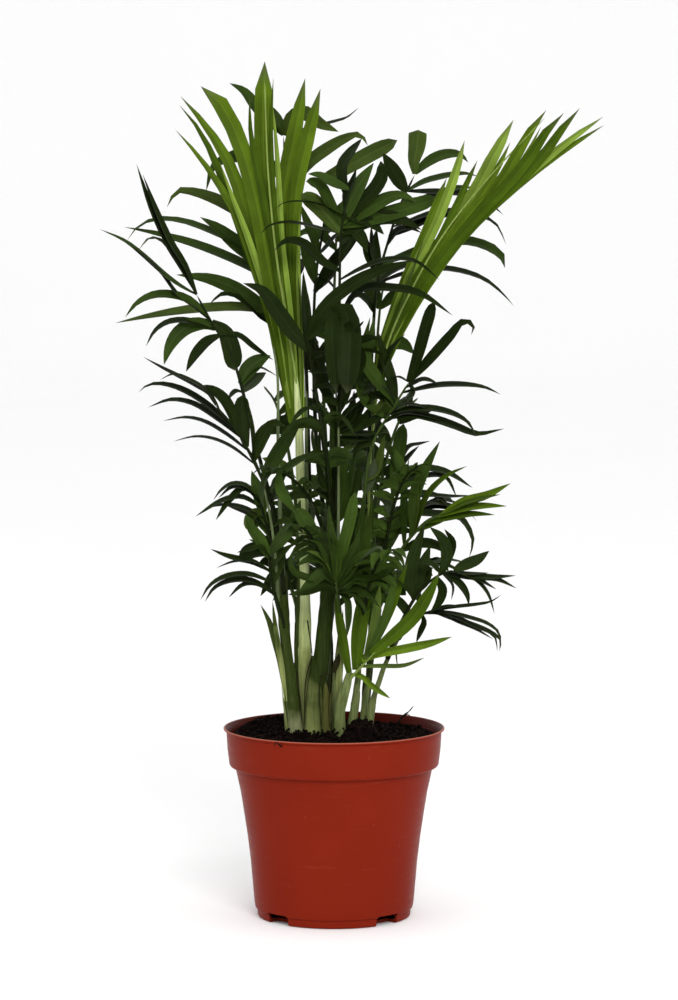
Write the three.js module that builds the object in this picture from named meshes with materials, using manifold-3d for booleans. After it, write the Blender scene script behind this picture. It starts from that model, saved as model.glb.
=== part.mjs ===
// A young parlour palm in its plastic nursery pot. Millimetres, +Z up.
// The origin is the middle of the pot's flat underside. Seen from -Y, +X is to the right.
import * as THREE from "three";
import { mergeVertices } from "three/addons/utils/BufferGeometryUtils.js";
import Module from "manifold-3d";

const wasm = await Module();
wasm.setup();

// ---- driving dimensions ----

// Pot: a thin moulded wall, a deep band under a narrow lip, and a flat base.
const POT_HEIGHT = 103;
const WALL = 1.5;
const LIP_RADIUS = 60;
const LIP_HEIGHT = 2;
const BAND_TOP_RADIUS = 58.4;
const BAND_FOOT_RADIUS = 56.8;
const BAND_FOOT_Z = 82;
const BODY_TOP_RADIUS = 53.3;
const BODY_MID_RADIUS = 47;
const BODY_MID_Z = 44;
const BODY_LOW_RADIUS = 43.4;
const BODY_LOW_Z = 8;
const FOOT_RADIUS = 41.6;
const POT_SEGMENTS = 36;

// Drain notches: slots through the foot of the wall and the rim of the base.
const NOTCH_COUNT = 4;
const NOTCH_WIDTH = 15;
const NOTCH_HEIGHT = 5.5;
const NOTCH_INNER_RADIUS = 34;
const FIRST_NOTCH_ANGLE = 43.5;

// Compost: nearly fills the pot, with a mound among the stems. Its foot is drawn in above the notches.
const SOIL_CLEARANCE = 0.5;
const SOIL_EDGE_Z = 98.6;
const SOIL_CLUMP_RISE = 4;
const SOIL_CLUMP = [-6, 3];
const SOIL_CLUMP_SPREAD = 34;
const SOIL_MOUND_RISE = 6.5;
const SOIL_MOUND = [13, 3];
const SOIL_MOUND_SPREAD = 9;
const SOIL_RIPPLE = 0.9;
const SOIL_RINGS = 5;
const SOIL_SEGMENTS = 20;

// Clearance that separate pieces keep.
const GAP = 0.3;

// Leaf blades and their stalks.
const BLADE_THICKNESS = 0.9;
const BLADE_STATIONS = 4;
const BLADE_COLUMNS = 3;
const STALK_FOOT_RADIUS = 1.2;
const STALK_TIP_RADIUS = 0.9;
const STALK_SIDES = 4;
const STALK_STEPS = 4;
const STALK_INTO_BLADE = 0.04;
const STEM_SIDES = 7;
const STEM_STEPS = 5;

// Stems: points up the middle of each, and the radius at each point.
const STEMS = {
  stem_left: {
    path: [[-22, -4, 96], [-23.5, -4, 118], [-25.5, -3, 138], [-27, -3, 160], [-27.5, -2, 187]],
    radii: [5.4, 4.4, 3.4, 3.0, 2.2],
  },
  stem_spear: {
    path: [
      [-17, 4, 96], [-17, 3, 125], [-16, 1, 150], [-15.5, 0, 168],
      [-15.5, 0, 205], [-17, -1, 240], [-19, -2, 270],
    ],
    radii: [2.8, 3.4, 3.9, 3.1, 2.7, 2.5, 2.3],
  },
  stem_centre: {
    path: [[-11, -7, 96], [-9.5, -6, 122], [-6, -4, 148], [-3.5, -3, 172], [-2, 0, 200], [0, 3, 225]],
    radii: [4.3, 4.3, 4.4, 4.1, 3.2, 2.2],
  },
  stem_dry_stub: {
    path: [[-4.5, -10.5, 96], [-4.5, -10.5, 110], [-4, -10, 121]],
    radii: [2.0, 1.8, 1.2],
  },
  stem_thin: {
    path: [[1, -3, 96], [1.5, -3, 118], [3, -3, 138], [3.5, -2, 160]],
    radii: [2.0, 2.1, 1.6, 1.2],
  },
  stem_low: {
    path: [[4, -9, 96], [2.5, -10, 113], [5, -11, 124], [9, -12, 131]],
    radii: [2.6, 2.5, 2.1, 1.5],
  },
  stem_bright: {
    path: [[8, -4, 98], [10.5, -4, 118], [12.5, -5, 130], [13.5, -6, 141]],
    radii: [2.1, 2.2, 2.0, 1.4],
  },
  stem_right: {
    path: [[15.5, 4, 100], [17.5, 4, 118], [20, 4, 134], [23, 5, 150], [25, 6, 173]],
    radii: [1.8, 1.8, 1.5, 1.4, 1.2],
  },
  stem_right_outer: {
    path: [[19, -2, 98], [21.5, -3, 117], [25, -4, 130], [29.5, -5, 142], [36, -6, 154]],
    radii: [1.9, 1.8, 1.5, 1.3, 1.1],
  },
  stem_back_left: {
    path: [[-20, 17, 95], [-21, 19, 130], [-22, 21, 165], [-20, 23, 200]],
    radii: [3.6, 3.3, 2.6, 1.8],
  },
  stem_back: {
    path: [[-3, 19, 95], [-3, 21, 135], [-2, 23, 175], [0, 25, 215]],
    radii: [4.2, 4.0, 3.2, 2.1],
  },
  stem_back_right: {
    path: [[13, 16, 95], [15, 18, 135], [17, 19, 170], [18, 20, 205]],
    radii: [3.2, 3.0, 2.4, 1.6],
  },
};

// Fronds. path runs up the leaf stalk from inside its stem to the last pair of leaflets, and bare is the
// share of it without leaflets. turn swings the blade round its midrib, in degrees: at 0 it lies across
// the view from -Y, a positive turn takes its left side back, and with no turn it faces up. Each side
// lists the reach of its leaflets and how far they lean towards the tip, in degrees, at the blade's foot,
// middle and end.
// droop lowers the furthest leaflet tips.
const FRONDS = {
  frond_spear_left: {
    path: [
      [-19, -2, 262], [-20.5, -3, 292], [-25, -4, 322], [-30, -5, 352], [-35, -6, 400], [-37, -7, 452],
    ],
    bare: 0.16, turn: 16, droop: 0,
    left: [[98, 76], [87, 57], [9, 70]], right: [[113, 79], [80, 65], [9, 70]],
  },
  frond_spear_right: {
    path: [
      [25, 6, 165], [19, 6, 215], [21, 4, 265], [28, 0, 308],
      [43, -6, 343], [60, -12, 372], [84, -19, 402], [112, -26, 432],
    ],
    bare: 0.49, turn: 18, droop: 0,
    left: [[97, 85], [66, 82], [5, 80]], right: [[122, 75], [101, 71], [21, 55]],
  },
  frond_tall_left: {
    path: [
      [-3, 3, 176], [-12, 8, 215], [-14, 11, 260], [-15.7, 14, 308],
      [-20, 18, 345], [-25, 23, 388], [-27.5, 27, 423],
    ],
    bare: 0.54, turn: 26, droop: 14,
    left: [[108, 10], [106, 26], [44, 50]], right: [[28, 30], [52, 40], [34, 40]],
  },
  frond_crown_middle: {
    path: [[-1, 0, 196], [2, -2, 250], [3, -5, 300], [3, -9, 340], [4, -15, 372], [8, -20, 394]],
    bare: 0.66, turn: -24, droop: 5,
    left: [[40, 25], [42, 30], [28, 40]], right: [[58, 12], [64, 25], [38, 60]],
  },
  frond_crown_left: {
    path: [[-2, 3, 192], [-9, 10, 250], [-11, 18, 300], [-10, 25, 345], [-6, 32, 372], [-3, 37, 392]],
    bare: 0.64, turn: -35, droop: 4,
    left: [[30, 35], [32, 45], [24, 60]], right: [[30, 40], [34, 50], [24, 65]],
  },
  frond_broad: {
    path: [[0, 0, 216], [-5, -7, 252], [-9, -12, 283], [-13, -16, 306], [-14.5, -18, 315]],
    bare: 0.6, turn: 12, droop: 0,
    left: [[12, 40], [22, 48], [43, 46]], right: [[14, 40], [34, 40], [69, 36]],
  },
  frond_tall_right: {
    path: [
      [17, 20, 195], [20, 18, 245], [22, 17, 292], [23, 17, 330],
      [28, 19, 358], [35, 22, 382], [44, 25, 402],
    ],
    bare: 0.62, turn: -26, droop: 20,
    left: [[28, 35], [30, 40], [24, 60]], right: [[80, 24], [68, 34], [34, 50]],
  },
  frond_left_arch: {
    path: [
      [-27, -3, 180], [-31, -6, 215], [-40, -9, 250], [-48, -13, 283],
      [-55, -16, 306], [-65, -20, 323], [-73, -22, 338],
    ],
    bare: 0.66, turn: -24, droop: 2,
    left: [[24, -10], [48, 0], [69, 65]], right: [[20, 0], [16, 30], [78, 84]],
  },
  frond_left_middle: {
    path: [
      [-27, -4, 176], [-30, -10, 205], [-35, -14, 230], [-45, -18, 253], [-53, -21, 267], [-63, -24, 279],
    ],
    bare: 0.56, turn: 20, droop: 4,
    left: [[46, 38], [56, 49], [50, 72]], right: [[38, 27], [26, 40], [22, 80]],
  },
  frond_left_low: {
    path: [[-27, -5, 158], [-31, -10, 173], [-34, -14, 187], [-35, -17, 199]],
    bare: 0.4, turn: -20, droop: 7,
    left: [[42, -2], [43, 5], [23, 60]], right: [[13, 40], [16, 45], [30, 62]],
  },
  frond_left_small: {
    path: [[-27.5, -4, 184], [-31, -8, 199], [-36, -11, 213], [-40, -13, 228]],
    bare: 0.45, turn: 24, droop: 4,
    left: [[33, 8], [41, 12], [28, 40]], right: [[15, 30], [13, 40], [19, 75]],
  },
  frond_right_middle: {
    path: [[24, 5, 166], [16, -2, 205], [17, -6, 235], [21, -9, 258], [31, -13, 276], [40, -16, 291]],
    bare: 0.68, turn: 24, droop: 8,
    left: [[22, 20], [38, 60], [44, 76]], right: [[76, 26], [60, 38], [47, 62]],
  },
  frond_right_bright: {
    path: [[24.5, 6, 168], [31, -3, 187], [38, -9, 203], [50, -15, 216], [62, -19, 222]],
    bare: 0.5, turn: 18, droop: 0,
    left: [[48, 42], [44, 48], [37, 74]], right: [[21, 30], [36, 60], [33, 76]],
  },
  frond_right_dark: {
    path: [[24.5, 6, 170], [28, 8, 195], [30, 8, 215], [33, 9, 232], [35, 10, 242]],
    bare: 0.55, turn: -28, droop: 7,
    left: [[16, 30], [18, 50], [28, 80]], right: [[40, 10], [40, 16], [47, 24]],
  },
  frond_right_fan: {
    path: [[29, -5, 141], [36, -13, 161], [46, -19, 179], [56, -23, 188], [64, -25, 191]],
    bare: 0.55, turn: -20, droop: 3,
    left: [[16, 40], [23, 50], [23, 72]], right: [[15, 10], [17, 20], [38, 66]],
  },
  frond_right_lowest: {
    path: [[35, -6, 152], [40, -10, 160], [46, -13, 165], [52, -15, 168]],
    bare: 0.35, turn: 22, droop: 7,
    left: [[11, 30], [22, 40], [41, 78]], right: [[17, 0], [26, 20], [47, 58]],
  },
  frond_low_bright: {
    path: [[8, -12, 130], [12, -16, 135], [17, -21, 141], [22, -26, 147]],
    bare: 0.12, turn: 0, droop: 0,
    left: [[47, 27], [63, 50], [56, 80]], right: [[25, 23], [38, 55], [48, 68]],
  },
  frond_front_low: {
    path: [[3.5, -3, 156], [3, -16, 169], [2, -30, 180], [1, -46, 187]],
    bare: 0.3, droop: 8,
    left: [[26, 10], [28, 20], [20, 50]], right: [[26, 10], [28, 20], [20, 50]],
  },
};

// More fronds stand round the clump. Each row is the name, the stem it grows from, the height of its foot,
// the compass angle it leans to from +X, its reach and height at the tip, and its longest leaflet.
const ROUND_FRONDS = [
  ["frond_back_high", "stem_back", 205, 84, 44, 382, 42],
  ["frond_back_high_left", "stem_back_left", 190, 100, 42, 352, 32],
  ["frond_back_high_right", "stem_back_right", 194, 78, 44, 346, 30],
  ["frond_back_middle", "stem_back", 192, 96, 74, 310, 38],
  ["frond_back_middle_left", "stem_back_left", 178, 112, 58, 284, 30],
  ["frond_back_middle_right", "stem_back_right", 182, 60, 54, 278, 30],
  ["frond_back_low", "stem_back", 174, 76, 70, 242, 34],
  ["frond_back_low_left", "stem_back_left", 162, 98, 62, 222, 30],
  ["frond_back_low_right", "stem_back_right", 166, 46, 46, 218, 30],
  ["frond_back_lowest", "stem_back", 150, 98, 58, 188, 30],
  ["frond_side_left", "stem_back_left", 150, 150, 34, 202, 24],
  ["frond_side_right", "stem_back_right", 150, 22, 34, 188, 24],
  ["frond_front_high", "stem_centre", 218, -70, 48, 326, 34],
  ["frond_front_middle", "stem_centre", 204, -96, 64, 280, 34],
  ["frond_front_middle_right", "stem_right", 162, -66, 52, 248, 30],
  ["frond_front_middle_left", "stem_centre", 192, -128, 54, 246, 26],
  ["frond_front_right", "stem_bright", 138, -74, 58, 204, 30],
  ["frond_front_left", "stem_centre", 172, -108, 54, 218, 28],
];

// How a round frond climbs: shares of its reach and of its height, from foot to tip.
const ROUND_CLIMB = [[0, 0], [0.12, 0.36], [0.36, 0.7], [0.68, 0.92], [1, 1]];
const ROUND_BARE = 0.42;
const ROUND_DROOP = 0.28;

const UP = new THREE.Vector3(0, 0, 1);
const STEM_SEARCH_POINTS = 60;

// ---- finishes ----

const TERRACOTTA_PLASTIC = new THREE.MeshStandardMaterial({ color: 0x9c3a22, roughness: 0.45 });
const COMPOST = new THREE.MeshStandardMaterial({ color: 0x1d1512, roughness: 1 });
const PALE_STEM = new THREE.MeshStandardMaterial({ color: 0x9aa365, roughness: 0.6 });
const DRY_STEM = new THREE.MeshStandardMaterial({ color: 0x5a4a32, roughness: 0.9 });
const OLD_LEAF = new THREE.MeshStandardMaterial({ color: 0x24401a, roughness: 0.5 });
const YOUNG_LEAF = new THREE.MeshStandardMaterial({ color: 0x6f9130, roughness: 0.5 });

// ---- solids ----

// A closed geometry as a solid that can be cut and joined.
function solidOf(geometry) {
  const bare = geometry.index ? geometry.toNonIndexed() : geometry.clone();
  bare.deleteAttribute("normal");
  bare.deleteAttribute("uv");
  const merged = mergeVertices(bare, 1e-4);
  return new wasm.Manifold(
    new wasm.Mesh({
      numProp: 3,
      vertProperties: merged.attributes.position.array,
      triVerts: new Uint32Array(merged.index.array),
    }),
  );
}

function geometryOf(solid) {
  const made = solid.getMesh();
  const geometry = new THREE.BufferGeometry();
  geometry.setAttribute("position", new THREE.BufferAttribute(made.vertProperties, 3));
  geometry.setIndex(new THREE.BufferAttribute(made.triVerts, 1));
  geometry.computeVertexNormals();
  return geometry;
}

function closedGeometry(vertices, faces) {
  const geometry = new THREE.BufferGeometry();
  const flat = vertices.flatMap((v) => [v.x, v.y, v.z]);
  geometry.setAttribute("position", new THREE.Float32BufferAttribute(flat, 3));
  geometry.setIndex(faces);
  return geometry;
}

function vector([x, y, z]) {
  return new THREE.Vector3(x, y, z);
}

// Value at share t of a list of evenly spaced values.
function along(values, t) {
  const place = Math.min(Math.max(t, 0), 1) * (values.length - 1);
  const i = Math.min(Math.floor(place), values.length - 2);
  return THREE.MathUtils.lerp(values[i], values[i + 1], place - i);
}

// ---- pot ----

function potSolid() {
  const bandSlope = (BAND_TOP_RADIUS - BAND_FOOT_RADIUS) / (POT_HEIGHT - LIP_HEIGHT - BAND_FOOT_Z);
  const outline = [
    [0, 0],
    [FOOT_RADIUS, 0],
    [BODY_LOW_RADIUS, BODY_LOW_Z],
    [BODY_MID_RADIUS, BODY_MID_Z],
    [BODY_TOP_RADIUS, BAND_FOOT_Z],
    [BAND_FOOT_RADIUS - 1.4, BAND_FOOT_Z],
    [BAND_FOOT_RADIUS, BAND_FOOT_Z + 1.6],
    [BAND_TOP_RADIUS, POT_HEIGHT - LIP_HEIGHT],
    [LIP_RADIUS, POT_HEIGHT - LIP_HEIGHT + 0.3],
    [LIP_RADIUS - 0.3, POT_HEIGHT],
    [BAND_TOP_RADIUS - WALL, POT_HEIGHT],
    [BAND_FOOT_RADIUS - WALL + bandSlope * WALL, BAND_FOOT_Z + WALL],
    [BODY_TOP_RADIUS - WALL, BAND_FOOT_Z + WALL],
    [BODY_MID_RADIUS - WALL, BODY_MID_Z],
    [BODY_LOW_RADIUS - WALL, BODY_LOW_Z],
    [FOOT_RADIUS - WALL, WALL],
    [0, WALL],
  ];
  const profile = outline.map(([r, z]) => new THREE.Vector2(r, z));
  const shell = solidOf(new THREE.LatheGeometry(profile, POT_SEGMENTS).rotateX(Math.PI / 2));
  const depth = LIP_RADIUS - NOTCH_INNER_RADIUS;
  let pot = shell;
  for (let i = 0; i < NOTCH_COUNT; i++) {
    const slot = new THREE.BoxGeometry(depth, NOTCH_WIDTH, 2 * NOTCH_HEIGHT);
    slot.translate(NOTCH_INNER_RADIUS + depth / 2, 0, 0);
    slot.rotateZ(THREE.MathUtils.degToRad(FIRST_NOTCH_ANGLE + (360 * i) / NOTCH_COUNT));
    pot = pot.subtract(solidOf(slot));
  }
  return pot;
}

// ---- compost ----

function soilHeight(x, y, radius) {
  const clump = Math.hypot(x - SOIL_CLUMP[0], y - SOIL_CLUMP[1]) / SOIL_CLUMP_SPREAD;
  const mound = Math.hypot(x - SOIL_MOUND[0], y - SOIL_MOUND[1]) / SOIL_MOUND_SPREAD;
  const ripple = SOIL_RIPPLE * Math.sin(0.21 * x + 1) * Math.cos(0.17 * y) * (1 - radius);
  const rise = SOIL_CLUMP_RISE * Math.exp(-clump * clump) + SOIL_MOUND_RISE * Math.exp(-mound * mound);
  return SOIL_EDGE_Z + rise + ripple;
}

function soilSolid(grow) {
  const inward = WALL + SOIL_CLEARANCE;
  const foot = WALL + GAP;
  const shelf = BAND_FOOT_Z + inward;
  const wide = BAND_FOOT_RADIUS - inward;
  const wall = [
    [NOTCH_INNER_RADIUS - GAP, foot],
    [BODY_LOW_RADIUS - inward, BODY_LOW_Z],
    [BODY_MID_RADIUS - inward, BODY_MID_Z],
    [BODY_TOP_RADIUS - inward, shelf],
    [wide, shelf],
  ];
  const vertices = [new THREE.Vector3(0, 0, foot)];
  const rings = [];
  const ring = (radius, height) => {
    rings.push(vertices.length);
    for (let k = 0; k < SOIL_SEGMENTS; k++) {
      const angle = (2 * Math.PI * k) / SOIL_SEGMENTS;
      const x = radius * Math.cos(angle);
      const y = radius * Math.sin(angle);
      vertices.push(new THREE.Vector3(x, y, height(x, y)));
    }
  };
  wall.forEach(([radius, z]) => ring(radius, () => z));
  for (let i = SOIL_RINGS; i > 0; i--) {
    const share = i / SOIL_RINGS;
    ring(wide * share, (x, y) => soilHeight(x, y, share) + grow);
  }
  vertices.push(new THREE.Vector3(0, 0, soilHeight(0, 0, 0) + grow));
  const top = vertices.length - 1;
  const faces = [];
  for (let k = 0; k < SOIL_SEGMENTS; k++) {
    const next = (k + 1) % SOIL_SEGMENTS;
    faces.push(0, rings[0] + next, rings[0] + k);
    for (let i = 0; i < rings.length - 1; i++) {
      faces.push(rings[i] + k, rings[i] + next, rings[i + 1] + next);
      faces.push(rings[i] + k, rings[i + 1] + next, rings[i + 1] + k);
    }
    faces.push(rings.at(-1) + k, rings.at(-1) + next, top);
  }
  return solidOf(closedGeometry(vertices, faces));
}

// ---- stems and fronds ----

// A tapering round limb along a smooth path, closed by flat ends.
function limbSolid(path, radii, sides, steps, grow) {
  const curve = new THREE.CatmullRomCurve3(path.map(vector), false, "centripetal");
  const frames = curve.computeFrenetFrames(steps, false);
  const vertices = [];
  for (let i = 0; i <= steps; i++) {
    const centre = curve.getPointAt(i / steps);
    const radius = along(radii, i / steps) + grow;
    for (let k = 0; k < sides; k++) {
      const angle = (2 * Math.PI * k) / sides;
      vertices.push(
        centre
          .clone()
          .addScaledVector(frames.normals[i], radius * Math.cos(angle))
          .addScaledVector(frames.binormals[i], radius * Math.sin(angle)),
      );
    }
  }
  const faces = [];
  for (let i = 0; i < steps; i++) {
    for (let k = 0; k < sides; k++) {
      const next = (k + 1) % sides;
      const low = i * sides;
      const high = low + sides;
      faces.push(low + k, low + next, high + next, low + k, high + next, high + k);
    }
  }
  for (let k = 1; k < sides - 1; k++) {
    faces.push(0, k + 1, k);
    faces.push(steps * sides, steps * sides + k, steps * sides + k + 1);
  }
  return solidOf(closedGeometry(vertices, faces));
}

// The thin blade over a frond's leaflets: rows run along the midrib, and each row goes from the left tip
// through the midrib to the right tip.
function bladeSolid(frond, grow) {
  const curve = new THREE.CatmullRomCurve3(frond.path.map(vector), false, "centripetal");
  const face = new THREE.Vector3(0, 0, 1);
  if ("turn" in frond) face.set(0, -1, 0).applyAxisAngle(UP, THREE.MathUtils.degToRad(-frond.turn));
  const longest = Math.max(...frond.left.map(([reach]) => reach), ...frond.right.map(([reach]) => reach));
  const top = [];
  const bottom = [];
  for (let i = 0; i <= BLADE_STATIONS; i++) {
    const t = i / BLADE_STATIONS;
    const share = THREE.MathUtils.lerp(frond.bare, 1, t);
    const heart = curve.getPointAt(share);
    const forward = curve.getTangentAt(share);
    if (i === 0) heart.addScaledVector(forward, -grow);
    if (i === BLADE_STATIONS) heart.addScaledVector(forward, grow);
    const side = face.clone().cross(forward).normalize();
    const normal = side.clone().cross(forward).normalize();
    for (const [edge, sign] of [[frond.left, 1], [frond.left, 0], [frond.right, -1]]) {
      const reach = Math.abs(sign) * (along(edge.map(([r]) => r), t) + grow);
      const lean = THREE.MathUtils.degToRad(along(edge.map(([, angle]) => angle), t));
      const place = heart
        .clone()
        .addScaledVector(side, sign * reach * Math.cos(lean))
        .addScaledVector(forward, reach * Math.sin(lean));
      place.z -= (frond.droop * reach) / longest;
      const half = BLADE_THICKNESS / 2 + grow;
      top.push(place.clone().addScaledVector(normal, half));
      bottom.push(place.clone().addScaledVector(normal, -half));
    }
  }
  const under = top.length;
  const faces = [];
  for (let i = 0; i < BLADE_STATIONS; i++) {
    for (let k = 0; k < BLADE_COLUMNS - 1; k++) {
      const a = i * BLADE_COLUMNS + k;
      const b = a + 1;
      const c = b + BLADE_COLUMNS;
      const d = a + BLADE_COLUMNS;
      faces.push(a, d, c, a, c, b);
      faces.push(under + a, under + c, under + d, under + a, under + b, under + c);
    }
  }
  const edge = [];
  for (let k = 0; k < BLADE_COLUMNS; k++) edge.push(k);
  for (let i = 1; i <= BLADE_STATIONS; i++) edge.push(i * BLADE_COLUMNS + BLADE_COLUMNS - 1);
  for (let k = BLADE_COLUMNS - 2; k >= 0; k--) edge.push(BLADE_STATIONS * BLADE_COLUMNS + k);
  for (let i = BLADE_STATIONS - 1; i > 0; i--) edge.push(i * BLADE_COLUMNS);
  edge.forEach((a, i) => {
    const b = edge[(i + 1) % edge.length];
    faces.push(a, b, under + b, a, under + b, under + a);
  });
  return solidOf(closedGeometry([...top, ...bottom], faces));
}

// The stalk runs a little way into the blade.
function frondSolid(frond, grow) {
  const curve = new THREE.CatmullRomCurve3(frond.path.map(vector), false, "centripetal");
  const stalk = [];
  for (let i = 0; i <= STALK_STEPS; i++) {
    stalk.push(curve.getPointAt(((frond.bare + STALK_INTO_BLADE) * i) / STALK_STEPS).toArray());
  }
  const radii = [STALK_FOOT_RADIUS, STALK_TIP_RADIUS];
  return limbSolid(stalk, radii, STALK_SIDES, STALK_STEPS, grow).add(bladeSolid(frond, grow));
}

// A frond that leans outwards over the pot, from its row in the table.
function roundFrond([, stem, footHeight, compass, reach, height, leaflet]) {
  const curve = new THREE.CatmullRomCurve3(STEMS[stem].path.map(vector), false, "centripetal");
  const foot = curve
    .getPoints(STEM_SEARCH_POINTS)
    .reduce((best, p) => (Math.abs(p.z - footHeight) < Math.abs(best.z - footHeight) ? p : best));
  const angle = THREE.MathUtils.degToRad(compass);
  const leaflets = [[leaflet * 0.85, 20], [leaflet, 36], [leaflet * 0.8, 66]];
  return {
    path: ROUND_CLIMB.map(([out, up]) => [
      foot.x + reach * out * Math.cos(angle),
      foot.y + reach * out * Math.sin(angle),
      foot.z + (height - foot.z) * up,
    ]),
    bare: ROUND_BARE, droop: ROUND_DROOP * leaflet,
    left: leaflets, right: leaflets,
  };
}

// ---- fitting the pieces past each other ----

const FOOT_SLACK = 3;

// How far a solid's box is from a point.
function distanceTo(solid, [x, y, z]) {
  const { min, max } = solid.boundingBox();
  return Math.hypot(
    Math.max(min[0] - x, 0, x - max[0]),
    Math.max(min[1] - y, 0, y - max[1]),
    Math.max(min[2] - z, 0, z - max[2]),
  );
}

function largest(bodies) {
  return bodies.reduce((best, body) => (body.volume() > best.volume() ? body : best));
}

// The body of a cut frond that still holds its foot.
function keepFoot(solid, { foot, reach }) {
  const bodies = solid.decompose();
  const near = bodies.filter((body) => distanceTo(body, foot) < reach);
  return largest(near.length ? near : bodies);
}

// Where two fronds cross, one gets a slit for the other: the one that loses less.
function slitCrossings(pieces) {
  for (let i = 0; i < pieces.length; i++) {
    for (let j = 0; j < i; j++) {
      const a = pieces[i];
      const b = pieces[j];
      if (a.solid.intersect(b.grown).volume() === 0) continue;
      const cutA = keepFoot(a.solid.subtract(b.grown), a);
      const cutB = keepFoot(b.solid.subtract(a.grown), b);
      const lossA = 1 - cutA.volume() / a.solid.volume();
      const lossB = 1 - cutB.volume() / b.solid.volume();
      if (lossA <= lossB) a.solid = cutA;
      else b.solid = cutB;
    }
  }
}

// ---- assembly ----

const palm = new THREE.Group();

function addMesh(name, geometry, material) {
  const mesh = new THREE.Mesh(geometry, material);
  mesh.name = name;
  palm.add(mesh);
}

const pot = potSolid();
addMesh("pot", geometryOf(pot), TERRACOTTA_PLASTIC);
addMesh("compost", geometryOf(soilSolid(0)), COMPOST);

// Stems stand clear of the compost and of the stems before them.
const soilGrown = soilSolid(GAP);
const grownStems = [];
for (const [name, { path, radii }] of Object.entries(STEMS)) {
  let stem = limbSolid(path, radii, STEM_SIDES, STEM_STEPS, 0).subtract(soilGrown);
  for (const other of grownStems) stem = stem.subtract(other);
  stem = largest(stem.decompose());
  grownStems.push(limbSolid(path, radii, STEM_SIDES, STEM_STEPS, GAP));
  addMesh(name, geometryOf(stem), name === "stem_dry_stub" ? DRY_STEM : PALE_STEM);
}

// Each frond starts at the skin of its stem.
const pieces = [];
for (const row of ROUND_FRONDS) FRONDS[row[0]] = roundFrond(row);
for (const [name, frond] of Object.entries(FRONDS)) {
  const foot = frond.path[0];
  let solid = frondSolid(frond, 0).subtract(soilGrown).subtract(pot);
  for (const stem of grownStems) solid = solid.subtract(stem);
  solid = largest(solid.decompose());
  const reach = distanceTo(solid, foot) + FOOT_SLACK;
  pieces.push({ name, foot, reach, solid, grown: frondSolid(frond, GAP) });
}
slitCrossings(pieces);
for (const { name, solid } of pieces) {
  const young = name.includes("spear") || name.includes("bright");
  addMesh(name, geometryOf(solid), young ? YOUNG_LEAF : OLD_LEAF);
}

export default palm;
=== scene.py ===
"""A parlour palm in its nursery pot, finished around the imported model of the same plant.

Lengths in the tables are millimetres, in the model's frame: the origin is the middle of the pot's
underside, +Z is up and the viewer stands at -Y. Every mesh is made in metres.
"""

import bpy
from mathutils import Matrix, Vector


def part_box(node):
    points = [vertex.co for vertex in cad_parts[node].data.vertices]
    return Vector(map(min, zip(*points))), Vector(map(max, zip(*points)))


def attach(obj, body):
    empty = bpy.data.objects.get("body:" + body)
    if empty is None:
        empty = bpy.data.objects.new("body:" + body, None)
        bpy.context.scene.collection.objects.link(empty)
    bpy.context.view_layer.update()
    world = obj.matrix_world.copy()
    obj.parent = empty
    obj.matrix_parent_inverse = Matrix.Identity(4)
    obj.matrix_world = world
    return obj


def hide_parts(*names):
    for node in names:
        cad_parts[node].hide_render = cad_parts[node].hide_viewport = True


bl_info = {
    "name": "Potted parlour palm",
    "version": (1, 0, 0),
    "blender": (4, 5, 0),
    "location": "3D View > Sidebar > Palm",
    "description": "Builds the pot, compost, stems and fronds of a parlour palm",
    "category": "Add Mesh",
}

import math
import random
from collections import namedtuple
from functools import partial

import bpy
from mathutils import Vector, noise

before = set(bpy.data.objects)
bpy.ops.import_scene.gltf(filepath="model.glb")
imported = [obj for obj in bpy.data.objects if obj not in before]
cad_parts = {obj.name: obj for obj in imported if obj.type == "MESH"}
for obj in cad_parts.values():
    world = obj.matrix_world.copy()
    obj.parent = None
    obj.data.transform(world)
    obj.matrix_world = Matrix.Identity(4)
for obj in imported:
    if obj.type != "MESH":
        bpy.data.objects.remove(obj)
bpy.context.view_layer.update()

MM = 0.001
UP = Vector((0, 0, 1))
CRUMB_SEED = 11
ROOT_SEED = 23
LEAF_SEED = 7

# ---- stage: the cove in millimetres, the light in metres

CAMERA_AT = Vector((2.7, -2000, 398))
CAMERA_PITCH = 4.9
LENS = 133.8
SENSOR = 36.0
KEY_AT = Vector((0.35, -1.9, 1.3))
KEY_AIM = Vector((0, 0, 0.2))
KEY_SIZE = (0.9, 0.7)
COVE_LEVEL = -0.2
COVE_DISC = 500
COVE_RADIUS = 5000
COVE_BEND = 900
COVE_TOP = 2400

# ---- pot and compost

POT_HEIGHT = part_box("pot")[1].z / MM
LIP_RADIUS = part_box("pot")[1].x / MM
WALL = 1.5
LIP_HEIGHT = 2.0
BAND_TOP_RADIUS = 58.4
BAND_FOOT = (56.8, 82.0)
BODY_TOP_RADIUS = 53.3
BODY = ((43.4, 8.0), (44.1, 16.0), (45.3, 30.0), (47.0, 44.0), (48.8, 56.0), (50.7, 68.0))
FOOT_RADIUS = 41.6
FOOT_ROUND = 1.0
STEP_ROUND = 0.9
BAND_ROUND = 1.5
LIP_ROUND = 0.6
NOTCHES = 4
NOTCH_COMPASS = 43.5
NOTCH_WIDTH = 15.0
NOTCH_HEIGHT = 5.5
NOTCH_FROM_RADIUS = 34.0
NOTCH_LENGTH = 30.0
POT_SIDES = 128

COMPOST_RADIUS = 54.6
COMPOST_EDGE = 98.6
COMPOST_FOOT = ((33.4, 1.9), (41.0, 8.4), (44.6, 44.0), (50.9, 80.0))
COMPOST_RINGS = 46
COMPOST_SIDES = 144
# Rises of the compost: middle, spread and height.
CLUMP_RISE = ((-6, 3), 34, 4.0)
MOUND_RISE = ((15, -13), 8, 10)
BACK_RISE = ((-34, 34), 24, 4.4)
RIPPLE = 0.9
LUMP_SPACING = 7.0
GRIT_SPACING = 3.2
ROOTLET = 0.16
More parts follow.
